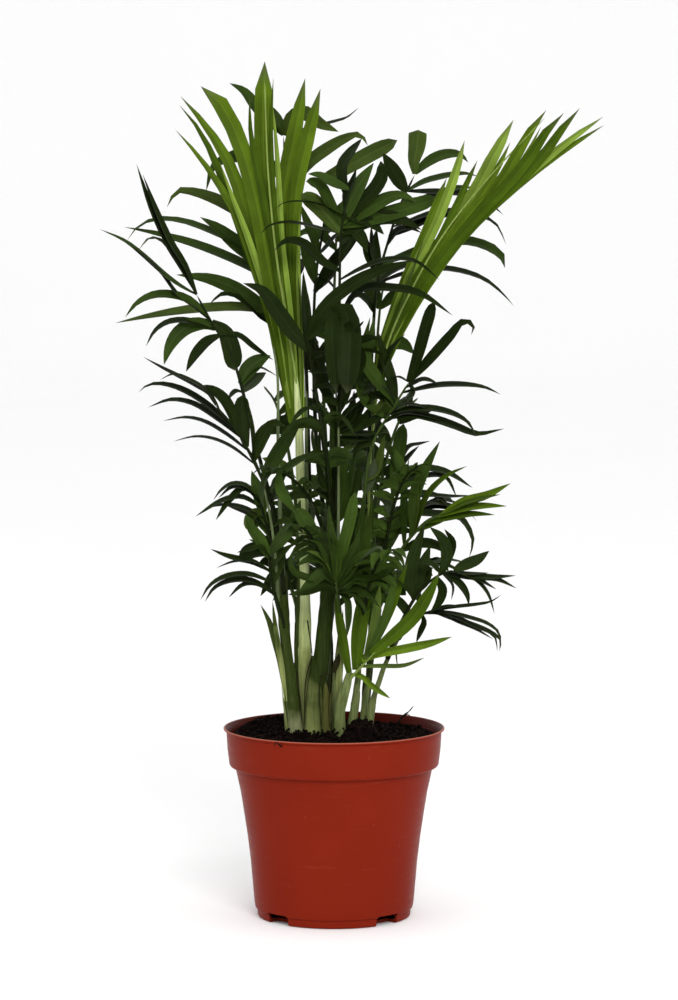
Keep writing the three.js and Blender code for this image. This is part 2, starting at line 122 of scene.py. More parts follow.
# Bits of bark on the compost: radius and points.
BARK_BITS = (
    (0.8, (35, 30, 100), (38, 31, 104.5), (41, 32, 106.5), (44, 33, 110)),
    (0.6, (37, 31, 103), (40, 29, 105.5), (42, 28, 105)),
    (0.5, (-27, -50, 99), (-29, -54, 101.5), (-31, -58.4, 103.3), (-31.5, -60.2, 100)),
    (0.7, (-34, 26, 100), (-37, 27, 103), (-41, 26, 104)),
)

# ---- stems

STEM_STEPS = 26
STEM_SIDES = 16
SCAR_CHANCE = 0.16
SCAR_SWELL = 1.07
FLUTE_SPACING = 1.6
FLUTE_LENGTH = 22
FLUTE_DEPTH = 0.28
# The path of each stem, and its radii evenly spaced along it.
STEMS = {
    "stem_left": (
        ((-20.8, -4, 96), (-22.6, -4, 118), (-24.8, -3, 138), (-27, -3, 160), (-27.5, -2, 187)),
        (4.0, 3.7, 2.9, 2.9, 2.2)),
    "stem_spear": (
        ((-17, 4, 96), (-17, 3, 125), (-16.3, 1, 150), (-15.9, 0, 175), (-16.6, 0, 203),
         (-18, -1, 235), (-18.6, -2, 256), (-19.6, -2.5, 278), (-21, -2.5, 302)),
        (2.8, 3.4, 4.0, 3.0, 2.4, 2.2, 2.3, 2.0, 0.5)),
    "stem_centre": (
        ((-11, -7, 96), (-9.5, -6, 122), (-6, -4, 148), (-3.5, -3, 172), (-2, 0, 200),
         (0, 3, 225)),
        (4.3, 4.3, 4.4, 4.1, 3.2, 2.2)),
    "stem_dry_stub": (
        ((-4.5, -10.5, 96), (-4.5, -10.5, 110), (-4, -10, 121)),
        (2.0, 1.8, 1.2)),
    "stem_thin": (
        ((1, -3, 96), (1.2, -3, 118), (2.4, -3, 136), (3.8, -2, 160)),
        (2.0, 2.3, 2.2, 1.3)),
    "stem_low": (
        ((4, -9, 96), (2.8, -10, 113), (5, -11, 124), (8.2, -12, 134)),
        (2.5, 2.3, 2.1, 1.6)),
    "stem_bright": (
        ((9, -4, 98), (11.4, -4, 118), (13, -5, 130), (13.5, -6, 141)),
        (2.1, 2.1, 1.8, 1.2)),
    "stem_right": (
        ((15.2, 4, 100), (17, 4, 118), (19.2, 4, 134), (22.6, 5, 150), (25, 6, 173)),
        (1.4, 1.3, 1.1, 1.2, 1.2)),
    "stem_right_outer": (
        ((18.4, -2, 98), (21, -3, 117), (25, -4, 130), (29.5, -5, 142), (36, -6, 154)),
        (1.9, 1.7, 1.5, 1.3, 1.1)),
    "stem_back_left": (
        ((-18, 17, 95), (-17.5, 19, 130), (-17.5, 21, 165), (-18.5, 23, 200)),
        (3.4, 2.9, 2.4, 1.8)),
    "stem_back": (
        ((-4, 19, 95), (-4.5, 21, 135), (-4, 23, 175), (-1, 25, 215)),
        (3.8, 3.2, 2.7, 2.0)),
    "stem_back_right": (
        ((16.5, 16, 95), (18.5, 18, 125), (20, 19, 150), (19.5, 20, 205)),
        (1.6, 1.5, 1.4, 1.3)),
}

STEM_GROUPS = {
    "green": ["stem_left", "stem_right", "stem_back_left", "stem_back", "stem_back_right"],
    "cream": ["stem_spear"],
    "shaded": ["stem_centre"],
    "pale": ["stem_thin"],
    "middle": ["stem_low", "stem_bright", "stem_right_outer"],
    "dry": ["stem_dry_stub"],
}

# Leaf bases that wrap a stem: stem, foot height, tip height, compass, half spread, flare and skin.
SHEATH_STEPS = 14
SHEATH_COLUMNS = 9
SHEATHS = (
    ("stem_left", 97, 160, 186, 110, 1.2, "green"),
    ("stem_left", 96, 142, 300, 150, 0.2, "green"),
    ("stem_left", 96, 127, 190, 35, 0.3, "pale"),
    ("stem_spear", 97, 161, 288, 150, 0.1, "cream"),
    ("stem_centre", 96, 160, 300, 120, 0.2, "shaded"),
    ("stem_centre", 96, 143, 222, 122, 0.5, "merging"),
    ("stem_dry_stub", 100, 129, 255, 140, 0.8, "papery"),
    ("stem_dry_stub", 99, 124, 330, 110, 1.0, "papery"),
    ("stem_thin", 98, 141.5, 190, 120, 0.4, "middle"),
    ("stem_low", 98, 131, 200, 140, 0.3, "middle"),
    ("stem_low", 99, 122, 320, 120, 0.5, "middle"),
    ("stem_bright", 99, 125, 300, 120, 0.3, "middle"),
    ("stem_right", 101, 130, 280, 140, 0.3, "middle"),
    ("stem_right_outer", 100, 124, 260, 130, 0.3, "middle"),
    ("stem_back_left", 96, 170, 160, 150, 1.5, "green"),
    ("stem_back", 96, 165, 90, 150, 1.5, "green"),
    ("stem_back", 97, 150, 190, 110, 1.0, "green"),
    ("stem_back_right", 96, 150, 40, 140, 1.0, "green"),
    ("stem_back_right", 98, 128, 120, 120, 1.2, "papery"),
)

# Free tips of leaf bases: skin, width and (x, y, z) points from foot to tip.
TONGUE_FOLD = 0.3
TONGUES = (
    ("green", 4.4, (-24.2, -8, 112), (-26.4, -8, 128), (-28.8, -8, 141), (-31.6, -8, 151),
     (-35.2, -7.5, 162), (-39.7, -6.5, 170.5)),
    ("pale", 3.0, (-26, -8.2, 118), (-28, -8.4, 135), (-30.2, -8.2, 149), (-31.8, -8, 160),
     (-33.2, -7.5, 172.5)),
    ("green", 2.2, (-23.2, -8.4, 122), (-25, -8.5, 138), (-27.2, -8.2, 151), (-28.8, -8, 160),
     (-30.4, -7.6, 170)),
    ("green", 2.4, (-20, -1, 112), (-20.5, -1.4, 134), (-19.8, -1.6, 156), (-19.2, -1.4, 180),
     (-18.8, -1.4, 198)),
    ("pale", 2.2, (3.4, -6.2, 122), (4, -6.4, 138), (4.4, -6.2, 152), (4.8, -5, 168)),
    ("middle", 2.4, (5, -12, 112), (6.8, -13, 122), (8.6, -13, 130), (9.4, -13, 137)),
    ("dry", 3.2, (-0.2, -6.6, 133.5), (0.8, -7, 137), (1.7, -6.8, 140), (2.9, -6.2, 144)),
    ("middle", 1.8, (20.5, -4.8, 112), (22.4, -5.6, 122), (25.5, -6.5, 132)),
)

# Dried brown edges of leaf bases, as (x, y, z) points.
DRY_EDGE = 0.42
DRY_EDGES = (
    ((-11.7, -7.4, 142), (-13, -8, 138), (-14.9, -8.2, 131), (-15.8, -8.2, 123), (-16, -8.4, 114),
     (-15.8, -8.6, 103)),
    ((-14.4, -3.2, 161), (-13.2, -2.8, 153), (-12.3, -1.8, 147), (-11.7, -0.8, 142)),
    ((-19.9, -6, 134), (-19.3, -7, 126), (-18.3, -8, 115), (-17.2, -9, 104)),
    ((-20.9, -1.6, 160), (-21.4, -2, 145), (-21, -3, 132)),
    ((2.1, -5.4, 142), (1.2, -5.7, 136), (0.5, -5.8, 128)),
    ((-7.4, -10.6, 131), (-7.9, -11.6, 122), (-7.5, -12.4, 112), (-7, -12.6, 103)),
    ((-2.2, -12, 130), (-2.4, -12.5, 122), (-2.8, -12.8, 112), (-2.4, -12.8, 102)),
    ((-1.6, -11.6, 130), (-4.5, -12.4, 132.4), (-7.2, -11.4, 130.4)),
)

# Long stalks that pass among the fronds: radius and points.
STALKS = (
    (1.4, (-27.5, -3, 182), (-28.4, -9, 205), (-29.4, -13, 235), (-30, -12, 262),
     (-30.4, -6, 295), (-34.5, 5, 318)),
    (1.1, (-30, -6, 172), (-31.2, -12, 194), (-34.4, -15, 220), (-40.6, -14, 245),
     (-47, -11, 257)),
    (1.7, (-15, 1.5, 186), (-14.8, 0.5, 212), (-14.8, -0.5, 240), (-14.9, -1, 262),
     (-14.8, -1, 286)),
    (1.2, (2, -6, 172), (2.3, -7, 200), (2.4, -7, 240), (2.2, -6, 272), (0.5, -5, 290)),
    (0.7, (33.5, -5, 147), (33.8, -5.2, 141), (34.2, -5.4, 138)),
)

# ---- fronds

LEAF_STEPS = 13
RIB_STEPS = 40
RIB_SIDES = 8
YOUNG_RIB = 0.65
FRONT_WIDTH = 7.5
FRONT_FILL = 0.62
# Places across a leaflet, as shares of its half width.
ACROSS = (-1.0, -0.5, 0.0, 0.5, 1.0)
# How far a leaflet that shows may lean or roll at random: a share of its reach, the longest reach
# that counts, and radians.
LEAN_SPREAD = 0.06
LEAN_REACH = 70
ROLL_SPREAD = 0.15

# How a leaflet widens and narrows: width at its foot, where it's full, where it starts to narrow,
# and how bluntly it does.
OUTLINES = {
    "": (0.34, 0.38, 0.46, 0.9),
    "strap": (0.5, 0.42, 0.56, 0.8),
    "blade": (0.5, 0.5, 0.80, 0.6),
    "lance": (0.5, 0.5, 0.90, 0.6),
    "blunt": (0.34, 0.62, 0.74, 0.5),
    "square": (0.28, 0.85, 0.90, 0.25),
}

# Kinds of leaflet: how much the midrib, the veins and the dry tip show, how rough the blade is, how
# much lighter it is painted in the heart of the clump (painted light against the shade there), and
# its slot. Their colours are settings.
LEAF_KINDS = {
    "deep": (0.12, 0.06, 0.35, 0.46, 2.5, "old_leaves"),
    "mid": (0.14, 0.06, 0.35, 0.46, 1.4, "old_leaves"),
    "olive": (0.14, 0.08, 0.35, 0.48, 1.4, "old_leaves"),
    "grey": (0.14, 0.08, 0.35, 0.55, 1.2, "old_leaves"),
    "fresh": (0.12, 0.12, 0.7, 0.46, 1.25, "young_leaves"),
    "young": (0.12, 0.16, 0.7, 0.46, 1.3, "young_leaves"),
    "pale": (0.14, 0.18, 0.7, 0.46, 1.2, "young_leaves"),
}
DRY_TIP = "#4A4A38"
# Tones of stalks and ribs: their colour among the stems' settings, and their slot.
RIB_TONES = {
    "dark": ("dark", "old_leaves"),
    "green": ("stalk", "old_leaves"),
    "young": ("young", "young_leaves"),
    "pale": ("second", "stems"),
}

Leaflet = namedtuple("Leaflet", "kind width lean shape points")
Frond = namedtuple("Frond", "turn tone width path")


def leaf(kind, width, *points, lean=0.0, shape=""):
    """A leaflet by its kind, the width that shows, and (x, z) points from its foot to its tip.

    The lean is how much further back its tip lies than its foot.
    """
    return Leaflet(kind, width, lean, shape, points)


deep, mid, olive, grey, fresh, young, pale = (partial(leaf, kind) for kind in LEAF_KINDS)

# Fronds that show: how far the leaflets' plane is turned, the stalk's tone, the full width of a
# leaflet (0 where it lies flat to the viewer), and the points of the rib.
FRONDS = {
    "frond_spear_left": Frond(16, "young", 0, (
        (-19, -2, 262), (-20.5, -3, 292), (-25, -4, 322), (-30, -5, 352), (-35, -6, 400),
        (-37, -7, 452))),
    "frond_spear_right": Frond(18, "young", 0, (
        (25, 6, 165), (19, 6, 215), (21, 4, 265), (28, 0, 308), (43, -6, 343), (60, -12, 372),
        (84, -19, 402), (112, -26, 432))),
    "frond_tall_left": Frond(26, "dark", 8.5, (
        (-3, 3, 176), (-12, 8, 215), (-14, 11, 260), (-15.7, 14, 308), (-20, 18, 345), (-25, 23, 388),
        (-27.5, 27, 423))),
    "frond_crown_middle": Frond(-24, "dark", 8.5, (
        (-1, 0, 196), (2, -2, 250), (3, -5, 300), (3, -9, 340), (4, -15, 372), (8, -20, 394))),
    "frond_crown_left": Frond(-35, "dark", 8, (
        (-2, 3, 192), (-9, 10, 250), (-11, 18, 300), (-10, 25, 345), (-6, 32, 372), (-3, 37, 392))),
    "frond_broad": Frond(12, "dark", 9, (
        (0, 0, 216), (-5, -7, 252), (-9, -12, 283), (-13, -16, 306), (-14.5, -18, 315))),
    "frond_tall_right": Frond(-26, "dark", 8.5, (
        (17, 20, 195), (19, 18, 245), (20, 17, 292), (21.5, 17, 322), (23.5, 18, 345), (28, 19, 361),
        (35, 22, 383), (44, 25, 402))),
    "frond_left_arch": Frond(-24, "dark", 8, (
        (-27, -3, 180), (-31, -6, 215), (-40, -9, 250), (-48, -13, 283), (-55, -16, 306),
        (-65, -20, 323), (-73, -22, 338))),
    "frond_left_middle": Frond(20, "dark", 8, (
        (-27, -4, 176), (-30, -10, 205), (-35, -14, 230), (-45, -18, 253), (-53, -21, 267),
        (-63, -24, 279))),
    "frond_left_low": Frond(-20, "dark", 6.5, (
        (-27, -5, 158), (-31, -10, 173), (-34, -14, 187), (-35, -17, 199))),
    "frond_left_small": Frond(24, "dark", 6.5, (
        (-27.5, -4, 184), (-31, -8, 199), (-36, -11, 213), (-40, -13, 228))),
    "frond_right_middle": Frond(24, "green", 8, (
        (24, 5, 166), (16, -2, 205), (17, -6, 235), (21, -9, 258), (31, -13, 276), (40, -16, 291))),
    "frond_right_bright": Frond(18, "green", 7, (
        (24.5, 6, 168), (31, -3, 187), (38, -9, 203), (50, -15, 216), (62, -19, 222))),
    "frond_right_dark": Frond(-28, "green", 7.5, (
        (24.5, 6, 170), (28, 8, 195), (30, 8, 215), (33, 9, 232), (35, 10, 242))),
    "frond_right_fan": Frond(-20, "dark", 6.5, (
        (29, -5, 141), (36, -13, 161), (46, -19, 179), (56, -23, 188), (64, -25, 191))),
    "frond_right_lowest": Frond(22, "dark", 6, (
        (35, -6, 152), (40, -10, 160), (46, -13, 165), (52, -15, 168))),
    "frond_low_bright": Frond(0, "young", 0, (
        (8, -12, 130), (12, -16, 135), (17, -21, 141), (22, -26, 147))),
    "frond_front_low": Frond(0, "green", 7, (
        (3.5, -3, 156), (3, -16, 169), (2, -30, 180), (1, -46, 187))),
}

# The leaflets that show on them, one by one.
LEAFLETS = {
    "frond_spear_left": (
        young(5, (-21.8, 267), (-25.2, 281), (-29, 300), (-33.4, 322), (-39.4, 343), (-46.4, 364.4),
              (-54.6, 384.6), (-71, 409.6), (-85.3, 426)),
        fresh(5.5, (-22, 267), (-25, 283), (-28.5, 300), (-32.5, 322), (-39, 342), (-47.5, 366),
              (-59.5, 399), (-71.5, 424.5), (-83, 439)),
        young(7.8, (-22.2, 268), (-24.8, 284), (-27.6, 302), (-31, 324), (-37, 345), (-44.4, 372),
              (-56.2, 407.8), (-70.2, 429.6), (-82.3, 443.6)),
        young(9, (-22.4, 269), (-24.5, 286), (-26.6, 303), (-29.8, 325), (-35, 350), (-41.2, 385),
              (-50.6, 419), (-61, 439.8), (-71.4, 448.8), shape="lance"),
        pale(3.8, (-23, 276), (-27.5, 300), (-32, 322), (-38, 343), (-46.8, 370), (-54, 388.5),
             (-61.5, 409)),
        pale(5, (-19.8, 263), (-20.9, 282), (-22, 300), (-23.4, 318), (-25.6, 340), (-28, 365),
             (-29, 390)),
        young(9.5, (-20, 270), (-21.2, 285), (-22.8, 300), (-24.6, 320), (-27.5, 342), (-31, 365),
              (-36, 392), (-38, 415), (-38, 440), (-37, 462), shape="lance"),
        fresh(3.2, (-24, 318), (-29, 352), (-32.5, 390), (-33.8, 425), (-32.4, 453.5)),
        pale(3.2, (-24, 318), (-27, 350), (-29, 385), (-30.5, 412), (-32, 430), (-33, 440)),
        fresh(3.8, (-29, 335), (-35, 375), (-41.5, 406), (-44.6, 424), (-45.2, 443)),
        young(8.6, (-18.8, 264), (-19.8, 280), (-21.2, 298), (-23, 320), (-25, 342), (-27.4, 372),
              (-26.8, 395), (-22.2, 418), (-15.4, 453), shape="blade"),
        young(8, (-17.6, 266), (-18.2, 283), (-19.2, 300), (-20.4, 320), (-21.6, 342), (-21.8, 372),
              (-20.2, 395), (-15.4, 416), (-7.2, 447.5), shape="blade"),
        pale(2.6, (-17, 264), (-17, 285), (-17.8, 305), (-18.6, 328), (-19.2, 352), (-18.4, 385)),
        fresh(1.6, (-18.6, 268), (-19.4, 290), (-21, 318), (-23.4, 350), (-24, 385), (-22.6, 408)),
        olive(1.5, (-16.6, 266), (-16.6, 288), (-17, 310), (-18, 330), (-19.4, 350))),
    "frond_spear_right": (
        young(4.5, (21.8, 283), (24.2, 305), (29, 321), (34, 335), (39.8, 350), (46, 364), (51, 376),
              (56, 389), (60.5, 400), shape="blade"),
        pale(5.2, (22.4, 285), (24.8, 305), (30, 320), (35.6, 335), (42, 350), (50, 365), (57, 380),
             (61, 391), (65, 402), (70, 420), shape="blade"),
        fresh(3.8, (22.8, 285), (25.6, 305), (31.2, 320), (37.6, 335), (46, 350), (55, 364), (61.5, 377),
              (68, 390), (73, 401), (77, 409.5), shape="blade"),
        pale(7, (23.2, 286), (26.4, 305), (32.4, 320), (39.5, 335), (48, 350), (57.5, 365), (66, 378),
             (75.6, 392.5), (85.2, 411), (96.2, 431), shape="blade"),
        young(4, (23.8, 286), (27, 305), (33.3, 320), (40.5, 335), (49, 350), (58.5, 364), (68, 377),
              (80, 391.5), (88, 405.5), (94.5, 419), shape="blade"),
        young(6, (24, 286), (27.8, 305), (34.4, 320), (42, 335), (51, 350), (61, 364), (74, 379.4),
              (86.4, 393.5), (97, 410.6), (105, 424.6), (113.8, 436.2), shape="blade"),
        pale(3, (24, 288), (28.2, 305), (34.8, 320), (42.5, 335), (51.8, 350), (62, 364), (77, 381),
             (92, 396), (103, 412), (111, 427.5), shape="blade"),
        fresh(6, (24.4, 286), (28.6, 305), (35.4, 320), (43.4, 335), (52.8, 350), (63.5, 364),
              (77.6, 380.4), (91, 394.2), (103, 408), (114.2, 425.2), (123.2, 434.6), shape="blade"),
        fresh(5.6, (24.8, 287), (29.2, 305), (36, 320), (44.2, 335), (53.6, 350), (64.4, 363.6),
              (79, 379), (95.2, 394.2), (111, 410.4), (122.4, 426.2), (131.8, 437.2), shape="blade"),
        pale(4.2, (25.2, 288), (29.6, 305), (36.4, 320), (44.6, 335), (54, 349.5), (64.2, 362.6),
             (77.8, 377.6), (95.2, 393.8), (109, 406), (129, 422), (144.4, 432.6), shape="blade"),
        young(3.2, (25.8, 290), (31, 305), (38.2, 320), (46.4, 334.6), (55.2, 348.2), (64.6, 361.4),
              (78.2, 376.6), (95.8, 392.8), (109.8, 404.4), (127, 417), (145, 428.2), shape="blade"),
        olive(1.4, (23.4, 288), (27.6, 306), (34, 322), (41, 337), (48, 352), (54, 364)),
        olive(1.4, (25, 298), (31, 317), (37, 334), (43, 352), (49, 370))),
    "frond_tall_left": (
        mid(5, (-27, 424), (-30, 431), (-33, 438)),
        olive(8, (-27, 424), (-23.5, 431), (-16.5, 434.6), (-8, 429), (2.6, 424.4)),
        deep(1.4, (-4, 429), (1, 430), (7, 432), (13.5, 437.5)),
        olive(7, (-26, 395), (-14, 407.4), (-4, 415), (7, 421.2), (14, 422.8), (18.2, 417)),
        mid(6.5, (-28, 420), (-41.4, 437.6), (-48.4, 446.4), (-56, 450.4)),
        mid(6.5, (-28, 401), (-42, 408), (-55, 410.6), (-64.4, 406), (-68.6, 392.6)),
        olive(7, (-24, 365), (-50, 381.4), (-62, 387.8), (-73, 391.8), (-84, 392.8), (-89.7, 384)),
        mid(9.5, (-21, 350), (-40, 357), (-53, 365.6), (-63, 373.8), (-72, 379)),
        mid(4.8, (-22, 350), (-60, 368.8), (-82, 377), (-97, 377.6), (-106, 373), (-111.4, 366)),
        mid(4.5, (-20, 338), (-48, 353.5), (-75, 364.6), (-98, 370.8), (-113, 373.6)),
        mid(8.5, (-20, 322), (-34, 326.5), (-45, 335), (-56, 342), (-69, 346.4), (-85, 348)),
        deep(4.5, (-20, 316), (-36, 324), (-46, 333), (-54, 337.6), (-61, 337.4), (-67.4, 331.5)),
        olive(4.4, (-18, 325), (-48, 330.6), (-75, 329.6), (-98, 326.2), (-118, 322)),
        mid(7, (-26, 398), (-36, 408), (-48, 414), (-58, 413)),
        deep(4, (-15, 300), (-14.5, 318), (-15, 333), (-17, 348))),
    "frond_crown_middle": (
        deep(6, (3, 348), (-6, 355), (-17, 365), (-26, 366), (-32, 361)),
        deep(1.6, (3, 368), (-12, 374), (-25, 376), (-35, 374), (-40, 369)),
        deep(1.2, (4, 380), (-8, 386), (-20, 387.5), (-28, 386), (-33, 382)),
        olive(9, (3.5, 370), (-4, 380), (-11, 387), (-18, 391), shape="blunt"),
        mid(6, (4, 374), (-3, 388), (-8, 396), (-15, 398), shape="blunt"),
        mid(8.5, (5, 376), (9, 388), (15.6, 399.6), (21.4, 408)),
        deep(7, (6, 377), (14, 386), (22, 394), (26, 402), (25, 409), shape="blunt"),
        mid(4.5, (6, 392), (-2, 398), (-8, 401), (-14, 402)),
        deep(6, (4, 392), (4.5, 405), (9, 414), (15, 421), lean=30),
        mid(8, (4, 374), (16, 377), (30, 381), (42, 384.5), (56, 389.5), shape="blade"),
        deep(8.5, (3, 366), (13, 375), (26, 379), (38, 377), (47, 372)),
        mid(7.5, (5, 376), (18, 383), (30, 389.6), (38, 390.6), (44, 387)),
        deep(6, (3, 355), (7, 365), (11, 372), (15, 379)),
        deep(3, (3, 343), (14, 351), (28, 356), (43, 355.5), (57, 345), lean=-46),
        deep(3.5, (2, 328), (14, 340), (30, 341), (46, 338), (64, 326), lean=-52),
        deep(4.5, (4, 385), (7, 392), (10, 398), (12, 405)),
        deep(7, (5, 378), (12, 379), (20, 376), (27, 369.5)),
        deep(7, (4, 371), (9, 372.4), (14.2, 368.4), (18, 360))),
    "frond_crown_left": (
        deep(6, (-14, 320), (-11.6, 311), (-8, 300), (-4.6, 289), (-1.4, 278)),
        deep(1.6, (-14, 296), (-8, 296.6), (-2, 295.4)),
        deep(1.8, (-12, 287.4), (-6, 288.6), (0, 287)),
        deep(6, (-8, 338), (-2, 352), (7.5, 363.6), (16.8, 374)),
        deep(3, (-9, 337), (-4, 345), (0, 350), (3, 358)),
        deep(1.2, (-8, 348), (-4, 345), (0, 341), (3, 337)),
        deep(3.2, (-8, 358), (-4, 363), (1, 369), (6, 372)),
        mid(7, (-6, 368), (2, 380), (10, 387), (20, 390)),
        deep(6, (-11, 310), (-19, 319), (-24, 330), (-30, 336)),
        mid(6, (-9, 344), (-12, 351), (-15, 358), (-18, 366)),
        mid(6, (-7, 360), (-11, 368), (-15, 377), (-18, 386)),
        olive(9, (-3, 391), (-7, 397), (4, 404), (19, 412.5), (34, 420), shape="blunt")),
    "frond_broad": (
        deep(9, (-14, 308), (-22, 317), (-30, 328), (-39, 340), (-49, 343.5)),
        deep(6.6, (-14, 314), (-8, 327), (4, 338.6), (20, 348.4), (43, 356)),
        deep(4, (-13, 305), (-14.5, 322), (-16, 337), (-16.5, 350)),
        deep(8.5, (-9, 322), (-2, 328), (-1, 312), (1, 285), lean=-14, shape="blunt"),
        deep(12.5, (-4, 318), (5, 329), (8.5, 318), (8, 302), (7, 284), lean=-20, shape="blunt"),
        deep(2.2, (-13, 300), (-11, 303.5), (-7, 305), (-2, 305.5))),
    "frond_tall_right": (
        olive(10, (43.5, 401), (43, 409), (44.5, 417), (45, 425.5), shape="square"),
        mid(6.2, (44, 402), (49, 407), (55, 410.8), (62, 412.8), (68, 412.2), (72, 408)),
        deep(8, (39, 392), (35, 398.4), (30.2, 406.2), (26, 413.4)),
        mid(4, (40, 393), (48, 397.6), (56, 400), (64, 401.7), (71, 402.2), (77.5, 400.6)),
        mid(4.4, (39, 386), (46, 388), (54.5, 390.7), (62, 393.5), (69, 395), (76.5, 394)),
        deep(4, (31, 368), (42, 374), (52, 378.5), (68, 381)),
        deep(4.5, (30, 364), (34, 371.5), (41, 373), (47, 370.5)),
        deep(4, (24, 350), (21, 359), (20, 367), (20, 375)),
        mid(5.6, (28, 355), (45, 361), (58, 365.2), (72, 366), (83, 362.8), (90, 358), (91.9, 351.5),
            shape="blade"),
        deep(3.2, (26, 343), (38, 348.6), (58, 351.4), (78.4, 346.8), (88.6, 339.8), (97, 331)),
        deep(2.4, (39, 390), (60, 392), (78, 390), (91, 380)),
        deep(2.2, (31, 371), (58, 382), (77, 380), (87, 375), (92.5, 364)),
        deep(3.5, (24, 345), (32, 350), (42, 354), (48, 355)),
        deep(5, (24, 350), (22.5, 358), (22, 366), (23, 373)),
        deep(5, (23, 325), (18, 334), (12, 337), (7, 332)),
        deep(5, (24, 349), (19, 357), (17, 364), (16, 372))),
    "frond_left_arch": (
        deep(3.2, (-73, 338), (-81, 351), (-88.8, 364), (-94.4, 375), (-99.4, 387), (-103, 398),
             (-105.9, 407.5)),
        deep(2.8, (-73, 338), (-79.6, 352), (-87, 364), (-92.2, 375), (-96.8, 386), (-102.6, 402)),
        mid(3.5, (-73.6, 337.6), (-81.6, 341.4), (-91, 348), (-102.2, 358), (-112.2, 366),
            (-126, 372.5)),
        grey(2, (-75, 342), (-87, 358.5), (-92.5, 366), (-98.8, 367.7), (-105, 361)),
        deep(2.8, (-65, 324), (-75, 330.5), (-84.5, 337.5), (-92.5, 348.5), (-101, 357), (-110, 364.5)),
        mid(4.8, (-67, 328), (-77, 334), (-87, 337.2), (-97, 337), (-106, 332.6), (-112.4, 325)),
        mid(8, (-64, 321), (-69.4, 321.6), (-77.6, 320.6), (-84, 316.2), (-88.8, 308.8), (-91.6, 299.5)),
        deep(3.2, (-64, 320.6), (-80, 323.4), (-90, 322.2), (-96.6, 317.4), (-101.2, 309.4)),
        deep(6.2, (-61.6, 316), (-67.8, 312.6), (-74.2, 305.6), (-79.7, 295.8)),
        deep(10, (-64, 322), (-59, 317.6), (-55.2, 308), (-53.6, 296.5), shape="blunt"),
        deep(3, (-60, 317), (-52, 315.5), (-43, 309), (-32.5, 302)),
        mid(9, (-51, 289.5), (-46.2, 297), (-40.4, 302), (-34, 304.6)),
        grey(6, (-50, 285), (-45, 289.5), (-40, 293.5), (-36.5, 295.5)),
        deep(1.8, (-49, 286), (-53, 285), (-57, 281)),
        deep(1.8, (-50, 290), (-41, 298), (-35, 296), (-30, 293))),
    "frond_left_middle": (
        deep(2.6, (-44, 246.5), (-55, 255), (-65, 259.5), (-75, 260.8), (-87, 258.2)),
        deep(2.6, (-46, 253), (-58, 262), (-70, 269), (-80, 271.2), (-92.5, 269.3)),
        deep(3.2, (-50, 260), (-63, 270.5), (-76, 278.7), (-88, 280.8), (-100.5, 276.5)),
        deep(2.4, (-53, 266), (-70, 279.3), (-84, 287.2), (-95, 289.5), (-101, 288.3), (-105.5, 284.5)),
        deep(2.8, (-62, 277), (-66, 282.5), (-74, 288), (-83, 293), (-92.5, 298), (-103, 304)),
        deep(3, (-64, 280), (-70, 286.5), (-78, 291.5), (-86.5, 294.5), (-94, 291.3)),
        deep(6.6, (-53.4, 264), (-55.4, 274), (-59.6, 281.4), (-66.2, 286.6), (-74, 288.2)),
        deep(8.4, (-46, 256), (-49, 266), (-49.7, 275), (-49.2, 283.5), shape="blunt"),
        deep(2, (-43, 250), (-44, 262), (-46, 274), (-49, 286)),
        deep(7, (-42, 249), (-38.4, 260.6), (-32.4, 268), (-26, 266.5)),
        deep(8, (-38, 239), (-31.5, 250), (-24.5, 261), (-17, 270)),
        deep(5, (-35, 231), (-27, 242), (-17, 249), (-5, 252)),
        deep(3.6, (-33, 226), (-29, 236), (-25, 241), (-20, 238))),
    "frond_left_low": (
        deep(4, (-34, 189.5), (-44, 192.8), (-53, 194.8), (-60, 196.9), (-67, 200)),
        deep(2.4, (-34, 188), (-43, 193), (-54, 193), (-64, 189.5)),
        deep(3, (-33.5, 183.4), (-46, 186.2), (-58, 185.2), (-67, 180.2), (-72.4, 172)),
        deep(2.4, (-33, 178), (-46, 183), (-57, 182.5), (-65, 178.5), (-70, 171)),
        deep(2.2, (-32, 175.5), (-41, 180.7), (-49, 180.5), (-57.3, 173.3)),
        mid(6.5, (-35, 197), (-40, 205), (-45, 212), (-47.5, 219)),
        deep(3, (-32, 202), (-39, 201.5), (-46, 199.5), (-52.5, 198)),
        deep(7.5, (-34, 199), (-28, 206), (-22, 214), (-18, 227)),
        deep(4.4, (-34, 190), (-30, 196), (-22, 203)),
        deep(5.5, (-33, 182), (-30, 190), (-26, 198))),
    "frond_left_small": (
        deep(2.6, (-40, 227), (-47, 234), (-55, 235.3), (-61, 231.8), (-65.2, 226.4)),
        deep(2.2, (-39, 226), (-47, 232.5), (-55, 233.5), (-62.5, 227.5)),
        deep(4, (-40, 228), (-48, 233), (-56, 227), (-64, 215.5)),
        deep(3.4, (-38, 224), (-50, 228.2), (-61, 226), (-75, 217.5)),
        deep(2.6, (-37, 218), (-50, 222.5), (-60, 224), (-67, 222.5)),
        deep(2, (-36, 214), (-47, 219), (-54, 222), (-60, 224.5)),
        olive(6, (-36, 215), (-40, 219.5), (-45, 217.5), (-46, 209.5), shape="blunt"),
        mid(7, (-38, 219), (-40, 228), (-44.5, 242.5)),
        deep(4.6, (-35, 211), (-30, 215), (-23, 214), (-16, 208)),
        mid(6, (-34, 207), (-37.5, 212), (-41, 215.5), (-45, 210.5), shape="blunt"),
        deep(5, (-31, 207), (-33.5, 214), (-37, 219.5))),
    "frond_right_middle": (
        deep(7, (41, 291), (45.4, 305), (49.6, 320), (54, 334), shape="blade"),
        deep(5, (41, 291), (52.2, 303.2), (63, 315.4), (69.6, 322.8), (75, 321.2), (73.8, 315.5)),
        deep(3, (38, 284.5), (54, 288.3), (68, 288.9), (81, 287.4), (90, 283.5)),
        deep(2, (40, 289), (48, 291.5), (56, 289.5)),
